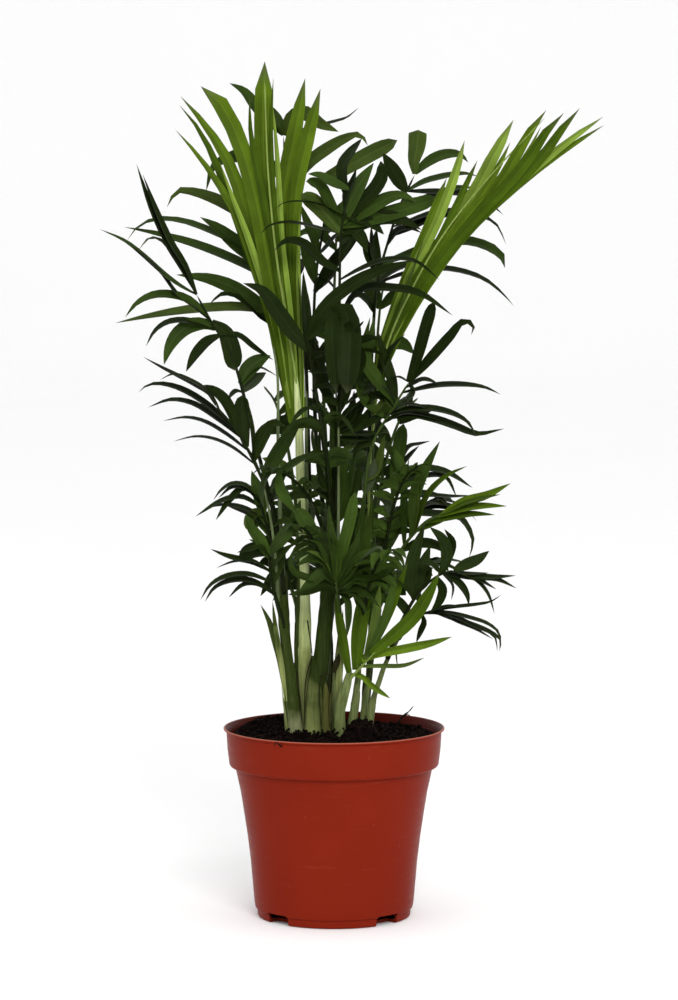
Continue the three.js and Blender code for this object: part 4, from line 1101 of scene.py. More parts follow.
def terracotta_plastic(settings):
    """Injection-moulded polypropylene: even satin colour, faint flow marks, a few rubbed specks."""
    material, tree = empty_material("terracotta_polypropylene_moulded")
    place = add_node(tree, "TexCoord").outputs["Object"]
    # Patches 40 mm across stand for the uneven mix of the colour in the melt.
    patches = add_node(tree, "TexNoise", inputs={
        "Vector": place, "Scale": 1 / 0.040, "Detail": 3.0})
    body = add_node(tree, "Mix", {"data_type": "RGBA"}, {
        0: patches, 6: settings.plastic, 7: settings.shade})
    # Specks 0.6 mm across about every 9 mm stand for scuffs and grit.
    cells = add_node(tree, "TexVoronoi", inputs={"Vector": place, "Scale": 1 / 0.009})
    specks = add_node(tree, "MapRange", inputs={
        "Value": cells, "From Min": 0.03, "From Max": 0.07,
        "To Min": 0.22, "To Max": 0.0})
    # Rub marks are long and low, as the pot turns in its tray.
    stretch = add_node(tree, "Mapping", inputs={
        "Vector": place, "Scale": (1 / 0.020, 1 / 0.020, 1 / 0.0022)})
    rubs = add_node(tree, "TexNoise", inputs={
        "Vector": stretch, "Scale": 1.0, "Detail": 5.0, "Roughness": 0.62})
    rubbed = add_node(tree, "MapRange", inputs={
        "Value": rubs, "From Min": 0.60, "From Max": 0.78,
        "To Min": 0.0, "To Max": 0.12})
    marks = add_node(tree, "Math", {"operation": "MAXIMUM"}, {0: specks, 1: rubbed})
    parts = add_node(tree, "SeparateXYZ", inputs={"Vector": place})
    # The lip's top edge is painted pale: a painted highlight along its rounded edge.
    lip = add_node(tree, "MapRange", inputs={
        "Value": parts.outputs["Z"], "From Min": (POT_HEIGHT - 0.7) * MM,
        "From Max": (POT_HEIGHT - 0.1) * MM, "To Min": 0.0, "To Max": 0.9})
    marks = add_node(tree, "Math", {"operation": "MAXIMUM"}, {0: marks, 1: lip})
    # Scuffs and specks, plus the painted lip highlight, are mixed into the plastic here.
    worn_and_highlit = add_node(tree, "Mix", {"data_type": "RGBA"}, {0: marks, 6: body, 7: settings.scuff_and_highlight})
    # Inside, where the surface faces the axis, the wall is painted darker as painted shade.
    skin = add_node(tree, "NewGeometry").outputs["Normal"]
    outward = add_node(tree, "VectorMath", {"operation": "MULTIPLY"}, {
        0: place, 1: (1.0, 1.0, 0.0)})
    facing = add_node(tree, "VectorMath", {"operation": "DOT_PRODUCT"}, {0: outward, 1: skin})
    inside = add_node(tree, "MapRange", inputs={
        "Value": facing, "From Min": -0.02, "From Max": 0.0,
        "To Min": 0.7, "To Max": 0.0})
    shaded_inside = add_node(tree, "Mix", {"data_type": "RGBA"}, {
        0: inside, 6: worn_and_highlit, 7: settings.inner_wall_shade})
    gloss = add_node(tree, "MapRange", inputs={
        "Value": rubs, "From Min": 0.3, "From Max": 0.7,
        "To Min": 0.30, "To Max": 0.42})
    # The mould's spark finish is 0.5 mm, drawn at 0.8 mm so that it shows.
    grain = add_node(tree, "TexNoise", inputs={
        "Vector": place, "Scale": 1 / 0.0008, "Detail": 2.0})
    bump = add_node(tree, "Bump", inputs={"Strength": 0.10, "Distance": 0.0003, "Height": grain})
    shader = add_node(tree, "BsdfPrincipled", inputs={
        "Base Color": shaded_inside, "Roughness": gloss,
        "IOR": 1.49, "Specular IOR Level": 0.03, "Normal": bump})
    add_node(tree, "OutputMaterial", inputs={"Surface": shader})
    return material


def moist_peat(settings):
    """Moist peat compost: near-black and dull, with drier brown fibres between the lumps."""
    material, tree = empty_material("peat_compost_moist")
    place = add_node(tree, "TexCoord").outputs["Object"]
    # Fibres and crumbs are 1 to 3 mm long.
    crumbs = add_node(tree, "TexNoise", inputs={
        "Vector": place, "Scale": 1 / 0.0022, "Detail": 6.0, "Roughness": 0.7})
    dry = add_node(tree, "MapRange", inputs={"Value": crumbs, "From Min": 0.48, "From Max": 0.72})
    body = add_node(tree, "Mix", {"data_type": "RGBA"}, {
        0: dry, 6: settings.peat, 7: settings.fibre})
    bump = add_node(tree, "Bump", inputs={"Strength": 0.9, "Distance": 0.0012, "Height": crumbs})
    shader = add_node(tree, "BsdfPrincipled", inputs={
        "Base Color": body, "Roughness": 0.92, "IOR": 1.4,
        "Specular IOR Level": 0.05, "Normal": bump})
    add_node(tree, "OutputMaterial", inputs={"Surface": shader})
    return material


def dry_fibre(name, tone):
    """Dead plant fibre, such as roots, bark and old leaf bases: matt, streaked, papery."""
    material, tree = empty_material(name)
    place = add_node(tree, "TexCoord").outputs["Object"]
    # Fibres run up the piece, 0.7 mm apart and 12 mm long.
    stretch = add_node(tree, "Mapping", inputs={
        "Vector": place, "Scale": (1 / 0.0007, 1 / 0.0007, 1 / 0.012)})
    fibres = add_node(tree, "TexNoise", inputs={"Vector": stretch, "Scale": 1.0, "Detail": 3.0})
    body = add_node(tree, "Mix", {"data_type": "RGBA"}, {
        0: fibres, 6: toned(tone, 0.35), 7: tone})
    bump = add_node(tree, "Bump", inputs={"Strength": 0.5, "Distance": 0.0003, "Height": fibres})
    shader = add_node(tree, "BsdfPrincipled", inputs={
        "Base Color": body, "Roughness": 0.8, "IOR": 1.45,
        "Specular IOR Level": 0.08, "Normal": bump})
    add_node(tree, "OutputMaterial", inputs={"Surface": shader})
    return material


def stem_skin(name, foot_tone, green_tone, low, high, slant=0.0):
    """Living stem: waxy skin with fine streaks up it, pale where it leaves the compost."""
    material, tree = empty_material(name)
    place = add_node(tree, "TexCoord").outputs["Object"]
    # The change of tone climbs across the stem where the slant says so.
    height = add_node(tree, "VectorMath", {"operation": "DOT_PRODUCT"}, {
        0: place, 1: (slant, 0.0, 1.0)})
    # Streaks are 0.9 mm apart and run 25 mm up the skin.
    stretch = add_node(tree, "Mapping", inputs={
        "Vector": place, "Scale": (1 / 0.0009, 1 / 0.0009, 1 / 0.025)})
    streaks = add_node(tree, "TexNoise", inputs={
        "Vector": stretch, "Scale": 1.0, "Detail": 4.0, "Roughness": 0.6})
    blotches = add_node(tree, "TexNoise", inputs={
        "Vector": place, "Scale": 1 / 0.010, "Detail": 2.0})
    ripple = add_node(tree, "Math", {"operation": "MULTIPLY_ADD"}, {
        0: blotches, 1: 0.035, 2: height})
    climb = add_node(tree, "MapRange", inputs={
        "Value": ripple, "From Min": low * MM, "From Max": high * MM})
    body = add_node(tree, "Mix", {"data_type": "RGBA"}, {0: climb, 6: foot_tone, 7: green_tone})
    shade = add_node(tree, "MapRange", inputs={
        "Value": streaks, "From Min": 0.3, "From Max": 0.7,
        "To Min": 0.62, "To Max": 1.18})
    streaked = add_node(tree, "VectorMath", {"operation": "SCALE"}, {0: body, "Scale": shade})
    bump = add_node(tree, "Bump", inputs={
        "Strength": 0.35, "Distance": 0.0002, "Height": streaks})
    shader = add_node(tree, "BsdfPrincipled", inputs={
        "Base Color": streaked, "Roughness": 0.46, "IOR": 1.45,
        "Specular IOR Level": 0.05, "Normal": bump})
    add_node(tree, "OutputMaterial", inputs={"Surface": shader})
    return material


def leaf_blade(name, tone, rib_share, vein_share, tip_share, roughness, heart_fill_gain):
    """Waxy leaf blade: satin sheen broken by parallel veins, a paler midrib and a dry tip."""
    material, tree = empty_material(name)
    coordinates = add_node(tree, "TexCoord")
    place = coordinates.outputs["Object"]
    along = add_node(tree, "SeparateXYZ", inputs={"Vector": coordinates.outputs["UV"]})
    # Leaves differ in tone over about 18 mm.
    patches = add_node(tree, "TexNoise", inputs={
        "Vector": place, "Scale": 1 / 0.018, "Detail": 3.0})
    spread = add_node(tree, "MapRange", inputs={
        "Value": patches, "From Min": 0.32, "From Max": 0.68})
    body = add_node(tree, "Mix", {"data_type": "RGBA"}, {
        0: spread, 6: toned(tone, 0.80), 7: toned(tone, 1.22)})
    # Eight parallel veins cross a leaflet's 8 mm.
    veins = add_node(tree, "TexWave", {"bands_direction": "X"}, {
        "Vector": coordinates.outputs["UV"], "Scale": 8 * math.pi / 10, "Distortion": 0.0})
    vein_shade = add_node(tree, "MapRange", inputs={
        "Value": veins.outputs["Fac"], "To Min": 1.0 - vein_share, "To Max": 1.0 + vein_share / 2})
    # The two halves of a folded blade catch the light unevenly.
    half_shade = add_node(tree, "MapRange", inputs={
        "Value": along.outputs["X"], "From Min": 0.45, "From Max": 0.55,
        "To Min": 1.0 - vein_share, "To Max": 1.0 + vein_share})
    shade = add_node(tree, "Math", {"operation": "MULTIPLY"}, {0: vein_shade, 1: half_shade})
    # Painted light: the same kind of leaflet is painted lighter low in the clump, below 290 mm,
    # than in the crown, to lift the shade that falls there: fully in its heart, and by a fifth of
    # that from 46 mm beside its middle.
    spot = add_node(tree, "SeparateXYZ", inputs={"Vector": place})
    low = add_node(tree, "MapRange", inputs={
        "Value": spot.outputs["Z"], "From Min": 0.235, "From Max": 0.290,
        "To Min": 1.0, "To Max": 0.0})
    aside = add_node(tree, "Math", {"operation": "ABSOLUTE"}, {0: spot.outputs["X"]})
    gain = add_node(tree, "MapRange", inputs={
        "Value": aside, "From Min": 0.028, "From Max": 0.046,
        "To Min": heart_fill_gain - 1.0, "To Max": (heart_fill_gain - 1.0) * 0.2})
    painted_fill_light = add_node(tree, "Math", {"operation": "MULTIPLY_ADD"}, {0: gain, 1: low, 2: 1.0})
    shade = add_node(tree, "Math", {"operation": "MULTIPLY"}, {0: shade, 1: painted_fill_light})
    veined = add_node(tree, "VectorMath", {"operation": "SCALE"}, {0: body, "Scale": shade})
    off_rib = add_node(tree, "Math", {"operation": "SUBTRACT"}, {0: along.outputs["X"], 1: 0.5})
    off_rib = add_node(tree, "Math", {"operation": "ABSOLUTE"}, {0: off_rib})
    midrib = add_node(tree, "MapRange", inputs={
        "Value": off_rib, "From Min": 0.015, "From Max": 0.06,
        "To Min": rib_share, "To Max": 0.0})
    ribbed = add_node(tree, "Mix", {"data_type": "RGBA"}, {
        0: midrib, 6: veined, 7: toned(tone, 2.6, 0.02)})
    dry = add_node(tree, "MapRange", inputs={
        "Value": along.outputs["Y"], "From Min": 0.93, "From Max": 1.0,
        "To Min": 0.0, "To Max": tip_share})
    tipped = add_node(tree, "Mix", {"data_type": "RGBA"}, {0: dry, 6: ribbed, 7: colour(DRY_TIP)})
    relief = add_node(tree, "Math", {"operation": "SUBTRACT"}, {
        0: veins.outputs["Fac"], 1: midrib})
    bump = add_node(tree, "Bump", inputs={"Strength": 0.22, "Distance": 0.0002, "Height": relief})
    gloss = add_node(tree, "MapRange", inputs={
        "Value": patches, "From Min": 0.3, "From Max": 0.7,
        "To Min": roughness - 0.05, "To Max": roughness + 0.08})
    shader = add_node(tree, "BsdfPrincipled", inputs={
        "Base Color": tipped, "Roughness": gloss, "IOR": 1.42,
        "Specular IOR Level": 0.035, "Normal": bump})
    add_node(tree, "OutputMaterial", inputs={"Surface": shader})
    return material


def studio_paper(settings):
    """Matt pale paper of a studio cove, with a faint mottle so that it isn't dead flat."""
    material, tree = empty_material("studio_paper_matt")
    place = add_node(tree, "TexCoord").outputs["Object"]
    mottle = add_node(tree, "TexNoise", inputs={
        "Vector": place, "Scale": 1 / 0.30, "Detail": 2.0})
    body = add_node(tree, "Mix", {"data_type": "RGBA"}, {
        0: mottle, 6: settings.floor, 7: toned(settings.floor, 0.98)})
    shader = add_node(tree, "BsdfPrincipled", inputs={
        "Base Color": body, "Roughness": 0.9, "Specular IOR Level": 0.1})
    add_node(tree, "OutputMaterial", inputs={"Surface": shader})
    return material


# ---- pot

def pot_outline(wall):
    """Stations of the pot's section: underside, body, rim band, lip, and down the inside."""
    band_radius, band_foot = BAND_FOOT
    return [
        *arc((FOOT_RADIUS - FOOT_ROUND, FOOT_ROUND), FOOT_ROUND, -90, -8, 4),
        (FOOT_RADIUS + 0.25, 4.2),
        *arc((FOOT_RADIUS + 0.45, 5.3), STEP_ROUND, -70, -8, 4),
        *BODY,
        (BODY_TOP_RADIUS, band_foot - 2.0),
        (BODY_TOP_RADIUS + 0.35, band_foot - 0.3),
        *arc((band_radius - 1.4, band_foot + 1.6), BAND_ROUND, -90, 0, 4),
        (BAND_TOP_RADIUS - 0.5, 92.0),
        (BAND_TOP_RADIUS, POT_HEIGHT - LIP_HEIGHT),
        *arc((LIP_RADIUS - LIP_ROUND, POT_HEIGHT - LIP_ROUND), LIP_ROUND, -80, 110, 7),
        (BAND_TOP_RADIUS + 0.1, POT_HEIGHT - 0.7),
        (BAND_TOP_RADIUS - wall, POT_HEIGHT - LIP_HEIGHT - 0.6),
        (band_radius - wall, band_foot + 3.0),
        (BODY_TOP_RADIUS - wall, band_foot - 1.0),
        (BODY[3][0] - wall, BODY[3][1]),
        (BODY[0][0] - wall, BODY[0][1]),
        (FOOT_RADIUS - wall, wall + 0.6),
        (FOOT_RADIUS - wall - 1.0, wall),
    ]


def cut_notches(pot):
    """Cuts the drain notches through the foot with rounded blocks."""
    select_only()
    middle = (NOTCH_FROM_RADIUS + NOTCH_LENGTH / 2) * MM
    size = Vector((NOTCH_LENGTH, NOTCH_WIDTH, 2 * NOTCH_HEIGHT)) * MM
    cutters = []
    for i in range(NOTCHES):
        turn = NOTCH_COMPASS + 360 / NOTCHES * i
        bpy.ops.mesh.primitive_cube_add(
            size=1, location=level(turn) * middle, rotation=(0, 0, math.radians(turn)), scale=size)
        cutters.append(bpy.context.object)
    select_only(*cutters)
    bpy.ops.object.transform_apply(location=True, rotation=True, scale=True)
    bpy.ops.object.join()
    cutter = bpy.context.object
    add_modifier(cutter, "BEVEL", width=1.0 * MM, segments=3)
    select_only(pot)
    add_modifier(pot, "BOOLEAN", operation="DIFFERENCE", solver="EXACT", object=cutter)
    bpy.data.objects.remove(cutter)


class PALM_OT_pot(bpy.types.Operator):
    """Turn the pot, cut its drain notches and round its edges"""

    bl_idname = "palm.pot"
    bl_label = "Pot"

    def execute(self, context):
        settings = context.scene.palm_pot
        pot = turned_shape("nursery_pot", pot_outline(settings.wall / MM), POT_SIDES)
        cut_notches(pot)
        select_only(pot)
        bpy.ops.object.shade_smooth_by_angle(angle=math.radians(35))
        finish_piece(pot, terracotta_plastic(settings), ["pot"])
        return {"FINISHED"}


# ---- compost

def bulge(x, y, rise):
    """Height of one rounded rise of the compost at a point."""
    (cx, cy), spread, height = rise
    return height * math.exp(-((x - cx) ** 2 + (y - cy) ** 2) / spread ** 2)


def compost_height(x, y):
    """Height of the compost at a point, before its lumps."""
    share = min(math.hypot(x, y) / COMPOST_RADIUS, 1.0)
    ripple = RIPPLE * math.sin(0.21 * x + 1) * math.cos(0.17 * y) * (1 - share)
    rise = (bulge(x, y, CLUMP_RISE) + bulge(x, y, MOUND_RISE)) * (1 - share ** 6)
    return COMPOST_EDGE + rise + ripple + bulge(x, y, BACK_RISE)


def roughen_compost(piece, lump):
    """Lays the top of the compost over its rises and breaks it into lumps."""
    for vertex in piece.data.vertices:
        x, y, z = vertex.co / MM
        if z < COMPOST_EDGE - 0.5:
            continue
        radius = math.hypot(x, y)
        inner = min((COMPOST_RADIUS - radius) / 3, 1.0)
        coarse = noise.noise(Vector((x, y, 0)) / LUMP_SPACING)
        fine = noise.turbulence(Vector((x, y, 5)) / GRIT_SPACING, 3, False)
        height = compost_height(x, y) + inner * (coarse * 1.4 + (fine - 0.5) * 2) * lump
        vertex.co.z = min(height, POT_HEIGHT + 6) * MM


def strewn_spot(source, margin):
    """A random point on the compost, a margin or more from its edge."""
    radius = (COMPOST_RADIUS - margin) * math.sqrt(source.random())
    angle = source.uniform(0, math.tau)
    return radius * math.cos(angle), radius * math.sin(angle)


def add_crumb(bundle, centre, size, source):
    """A crumb of peat: an uneven lump with two rings of five corners."""
    rows = [[centre - UP * size * 0.4]]
    turn = source.uniform(0, math.tau)
    for height, reach in ((-0.1, 0.5), (0.25, 0.42)):
        ring = []
        for i in range(5):
            angle = turn + math.tau * i / 5
            out = size * reach * source.uniform(0.7, 1.25)
            corner = Vector((math.cos(angle) * out, math.sin(angle) * out, size * height))
            ring.append(centre + corner)
        rows.append(ring)
    rows.append([centre + UP * size * 0.45])
    bundle.add_rows(rows, closed=True)


def add_tube(bundle, line, radii, sides, side_of):
    """A tube along a line, with a radius at each point but the last, and a point at both ends."""
    rows = [[line[0]]]
    for i, radius in enumerate(radii):
        forward = heading(line, i)
        across = side_of(forward)
        other = forward.cross(across)
        ring = []
        for k in range(sides):
            angle = math.tau * k / sides
            ring.append(line[i] + (across * math.cos(angle) + other * math.sin(angle)) * radius)
        rows.append(ring)
    rows.append([line[-1]])
    bundle.add_rows(rows, closed=True)


def add_thread(bundle, path, radius, sides=4, steps=8):
    """A fine tapering tube along a path."""
    radii = [radius * (1 - 0.6 * i / steps) for i in range(steps)]
    line = smooth_path(path, steps)
    add_tube(bundle, line, radii, sides, lambda forward: forward.orthogonal().normalized())


class PALM_OT_compost(bpy.types.Operator):
    """Fill the pot with compost, and strew it with crumbs, rootlets and bits of bark"""

    bl_idname = "palm.compost"
    bl_label = "Compost"

    def execute(self, context):
        settings = context.scene.palm_compost
        shares = [1 - i / COMPOST_RINGS for i in range(COMPOST_RINGS)]
        top = [(COMPOST_RADIUS * share, COMPOST_EDGE) for share in shares]
        bed = turned_shape("compost_bed", [*COMPOST_FOOT, *top], COMPOST_SIDES)
        roughen_compost(bed, settings.lump / MM)
        select_only(bed)
        bpy.ops.object.shade_smooth_by_angle(angle=math.radians(50))
        peat = moist_peat(settings)
        finish_piece(bed, peat, ["compost"])
        self.strew_crumbs(settings, peat)
        self.lay_roots(settings)
        return {"FINISHED"}

    def strew_crumbs(self, settings, peat):
        """Loose crumbs all over the compost."""
        source = random.Random(CRUMB_SEED)
        crumbs = Bundle()
        for _ in range(settings.crumbs):
            x, y = strewn_spot(source, 2)
            size = settings.crumb / MM * (0.4 + 2.0 * source.random() ** 3)
            centre = Vector((x, y, compost_height(x, y) + size * 0.25))
            add_crumb(crumbs, centre, size, source)
        finish_piece(crumbs.make("compost_crumbs"), peat, [])

    def lay_roots(self, settings):
        """Rootlets and bark bits that lie on the compost."""
        source = random.Random(ROOT_SEED)
        roots = Bundle()
        for _ in range(settings.rootlets):
            middle_x, middle_y = strewn_spot(source, 6)
            turn = source.uniform(0, math.tau)
            length = source.uniform(4, 11)
            path = []
            for k in range(4):
                turn += source.uniform(-0.6, 0.6)
                x = middle_x + length * (k / 3 - 0.5) * math.cos(turn)
                y = middle_y + length * (k / 3 - 0.5) * math.sin(turn)
                lift = 0.7 + source.uniform(0, 1.1)
                path.append((x, y, compost_height(x, y) + lift))
            add_thread(roots, path, ROOTLET)
        finish = dry_fibre("root_fibre_dry", settings.root)
        finish_piece(roots.make("compost_rootlets"), finish, [])
        bark = Bundle()
        for radius, *path in BARK_BITS:
            add_thread(bark, path, radius)
        finish = dry_fibre("bark_bits_dry", settings.twig)
        finish_piece(bark.make("compost_bark_bits"), finish, [])


# ---- stems

def grown_stem(name):
    """A stem: a ring drawn up its path, narrowing, with the scars of old leaf bases."""
    path, radii = STEMS[name]
    source = random.Random(name)
    rings = []
    for i, middle in enumerate(smooth_path(path, STEM_STEPS)):
        radius = between(radii, i / STEM_STEPS)
        if 4 <= i < STEM_STEPS - 2 and source.random() < SCAR_CHANCE:
            radius *= SCAR_SWELL
        rings.append((middle, radius))
    return drawn_shape(name + "_skin", rings, STEM_SIDES)


def flute_stems(piece):
    """Gives the round stems the shallow uneven flutes that leaf bases press into them."""
    for vertex in piece.data.vertices:
        x, y, z = vertex.co / MM
        push = noise.noise(Vector((x / FLUTE_SPACING, y / FLUTE_SPACING, z / FLUTE_LENGTH)))
        vertex.co += vertex.normal * push * FLUTE_DEPTH * MM


def add_sheath(bundle, row, thickness):
    """A leaf base that wraps a stem at its foot and narrows to a tongue beside it.

    Those that share a stem lie over each other in their order, a thickness apart.
    """
    stem, foot, tip, compass, spread, flare, _ = row
    same_stem = [other for other in SHEATHS if other[0] == stem]
    thickness *= 1 + same_stem.index(row)
    rows = []
    for i in range(SHEATH_STEPS):
        share = i / SHEATH_STEPS
        height = foot + (tip - foot) * share
        middle, radius = stem_point(stem, height)
        middle = Vector((middle.x, middle.y, height))
        open_angle = spread * (1 - share ** 1.7) + 6
        out = radius + thickness + flare * share ** 2.2
        ring = []
        for k in range(SHEATH_COLUMNS):
            side = level(compass + open_angle * (2 * k / (SHEATH_COLUMNS - 1) - 1))
            ring.append(middle + side * out)
        rows.append(ring)
    middle, radius = stem_point(stem, tip)
    middle = Vector((middle.x, middle.y, tip))
    rows.append([middle + level(compass) * (radius + thickness + flare)])
    bundle.add_rows(rows)


class PALM_OT_stems(bpy.types.Operator):
    """Grow the stems, wrap them in leaf bases, and leave the dried ones"""

    bl_idname = "palm.stems"
    bl_label = "Stems"

    def execute(self, context):
        settings = context.scene.palm_stems
        skins = self.make_skins(settings)
        for name, nodes in STEM_GROUPS.items():
            slot = "dry_sheath" if name == "dry" else "stems"
            self.join_stems(context, f"palm_stems_{name}", nodes, skins[name], slot)
        bases = {name: Bundle() for name in skins}
        for row in SHEATHS:
            add_sheath(bases[row[-1]], row, settings.sheath / MM)
        for name, width, *path in TONGUES:
            spine = smooth_path(path, LEAF_STEPS)
            normals = [upright(CAMERA_AT - p, heading(spine, i)) for i, p in enumerate(spine)]
            add_leaflet(bases[name], spine, normals, width, TONGUE_FOLD, "strap")
        for path in DRY_EDGES:
            add_thread(bases["dry"], [in_view(x, z, y) for x, y, z in path], DRY_EDGE, 6, 20)
        for name, bundle in bases.items():
            slot = "dry_sheath" if name in ("papery", "dry") else "stems"
            finish_piece(bundle.make(f"palm_leaf_bases_{name}"), skins[name], [])
        return {"FINISHED"}

    def make_skins(self, settings):
        """The skins of the stems and leaf bases, with the heights between which each turns green."""
        return {
            "cream": stem_skin("spear_stalk_waxy", settings.pale, settings.cream, 160, 190),
            "pale": stem_skin("stem_skin_pale", settings.pale, settings.green, 148, 175),
            "middle": stem_skin("stem_skin_middle", settings.middle, settings.green, 150, 185),
            "green": stem_skin("stem_skin_green", settings.foot, settings.green, 116, 136),
            "shaded": stem_skin("stem_skin_shaded", settings.pale, settings.shaded, 104, 128),
            "merging": stem_skin("stem_skin_merging", settings.pale, settings.shaded, 84, 124, 2.4),
            "papery": dry_fibre("leaf_base_papery", settings.papery),
            "dry": dry_fibre("leaf_base_dry", settings.dry),
        }

    def join_stems(self, context, name, nodes, skin, slot):
        """Grows some stems, joins them and gives them their skin."""
        stems = [grown_stem(node) for node in nodes]
        select_only(*stems)
        if len(stems) > 1:
            bpy.ops.object.join()
        piece = context.object
        piece.name = name
        piece.data.name = name
        flute_stems(piece)
        bpy.ops.object.shade_smooth_by_angle(angle=math.radians(50))
        finish_piece(piece, skin, nodes)


# ---- fronds

def in_view(x, z, depth):
    """The point at a depth that the camera sees where (x, 0, z) lies."""
    front = Vector((x, 0, z))
    return CAMERA_AT + (front - CAMERA_AT) * ((depth - CAMERA_AT.y) / -CAMERA_AT.y)


def leaf_outline(share, shape):
    """A leaflet's width at a share of its length, as a part of its widest."""
    foot, full, start, power = OUTLINES[shape]
    rise = foot + (1 - foot) * math.sin(min(share / full, 1.0) * math.pi / 2)
    fall = math.cos(max(0.0, (share - start) / (1 - start)) * math.pi / 2)
    return rise * max(fall, 0.0) ** power


def add_leaflet(bundle, spine, normals, width, fold, shape=""):
    """A blade along a spine, folded along its midrib and arched on both sides of it."""
    rows = []
    for i, centre in enumerate(spine[:-1]):
        across = heading(spine, i).cross(normals[i]).normalized()
        half = 0.5 * width * leaf_outline(i / (len(spine) - 1), shape)
        row = []
        for offset in ACROSS:
            lift = fold * (abs(offset) - 0.5) + (0.10 if abs(offset) == 0.5 else 0.0)
            row.append(centre + across * half * offset + normals[i] * half * lift)
        rows.append(row)
    rows.append([spine[-1]])
    bundle.add_rows(rows)


def add_placed_leaflet(bundle, leaflet, rib, turn, full_width, fold, source):
    """A leaflet that shows on a frond, from the nearest point of the rib.

    Its full width is turned away from the viewer until the width that shows is the leaflet's own.
    """
    x, z = leaflet.points[0]
    root = min(rib, key=lambda p: (p.x - x) ** 2 + (p.z - z) ** 2)
    shape = leaflet.shape
    if full_width == 0:
        root = in_view(x, z, root.y)
        shape = shape or "strap"
        fold *= 2
    slope = math.tan(math.radians(turn))
    end_x, end_z = leaflet.points[-1]
    reach = abs(end_x - x) + abs(end_z - z)
    lean = leaflet.lean + source.uniform(-LEAN_SPREAD, LEAN_SPREAD) * min(reach, LEAN_REACH)
    points = [root]
    for k, (px, pz) in enumerate(leaflet.points[1:], 1):
        share = k / (len(leaflet.points) - 1)
        points.append(in_view(px, pz, root.y - (px - x) * slope + lean * share))
    spine = smooth_path(points, LEAF_STEPS)
    width = max(leaflet.width, full_width)
    roll = math.acos(min(leaflet.width / width, 1.0)) + source.uniform(-ROLL_SPREAD, ROLL_SPREAD)
    rising = 1 if heading(spine, LEAF_STEPS // 2).x < 0 else -1
    normals = []
    for i, point in enumerate(spine):
        forward = heading(spine, i)
        toward = upright(CAMERA_AT - point, forward)
        side = forward.cross(toward) * rising
        normals.append(toward * math.cos(roll) + side * math.sin(roll))
    add_leaflet(bundle, spine, normals, width, fold, shape)


def round_rib(name):
    """The rib of a frond made by rule, from its stem up and out to its tip."""
    stem, foot_height, compass, reach, height, _, _ = ROUND_FRONDS[name]
    foot, _ = stem_point(stem, foot_height)
    out = level(compass) * reach
    climb = UP * (height - foot_height)
    return smooth_path([foot + out * far + climb * high for far, high in ROUND_CLIMB], RIB_STEPS)


def blocks_opening(spine, half):
    """Whether a leaflet would close one of the openings in the crown, seen from the front."""
    for point in spine:
        scale = -CAMERA_AT.y / (point.y - CAMERA_AT.y)
        x = CAMERA_AT.x + (point.x - CAMERA_AT.x) * scale
        z = CAMERA_AT.z + (point.z - CAMERA_AT.z) * scale
        if any(math.hypot(x - ox, z - oz) < radius + half for ox, oz, radius in OPENINGS):
            return True
    return False


def ruled_spine(heart, forward, side, share, longest, source):
    """One way for a leaflet to arch out from its rib."""
    reach = between(ROUND_LENGTHS, share) * longest * source.uniform(*ROUND_STRETCH)
    lean = math.radians(between(ROUND_LEANS, share) + source.uniform(*ROUND_SWING))
    face = upright(UP, forward)
    out = side * math.cos(lean) + forward * math.sin(lean)
    droop = reach * source.uniform(*ROUND_DROOP)
    points = (
        heart,
        heart + out * reach * 0.34 + face * reach * 0.07,
        heart + out * reach * 0.68 - UP * droop * 0.3,
        heart + out * reach * 0.96 - UP * droop)
    return smooth_path(points, LEAF_STEPS)


def add_round_leaflets(bundle, rib, longest, size, settings, source):
    """Pairs of arching leaflets along a rib, and a pair at its tip."""
    for i in range(settings.pairs + 1):
        for sign in (-1, 1):
            share = (i + source.uniform(*ROUND_SHIFT) * (i < settings.pairs)) / settings.pairs
            share = min(max(share, 0.0), 1.0)
            at = round((ROUND_BARE + (1 - ROUND_BARE) * share) * (len(rib) - 1))
            forward = heading(rib, at)
            face = upright(UP, forward)
            side = face.cross(forward) * sign
            width = settings.width / MM * size * source.uniform(*ROUND_WIDEN)
            tries = [ruled_spine(rib[at], forward, side, share, longest * size, source)
                     for _ in range(ROUND_TRIES)]
            clear = [spine for spine in tries if not blocks_opening(spine[3:], width * ROUND_CLEAR)]
            if not clear:
                continue
            spine = clear[0]
            roll = source.uniform(*ROUND_ROLL)
            normals = []
            for k in range(len(spine)):
                along = heading(spine, k)
                up = upright(face, along)
                normals.append(up * math.cos(roll) + along.cross(up) * math.sin(roll))
            add_leaflet(bundle, spine, normals, width, settings.fold)


def add_rib(bundle, rib, radius):
    """A stalk and rib: a tube that thins to a point at the frond's tip."""
    steps = len(rib) - 1
    radii = [radius * (1 - 0.62 * (i / steps) ** 0.9) for i in range(steps)]
    add_tube(bundle, rib, radii, RIB_SIDES, lambda forward: upright(Vector((1, 0, 0)), forward))


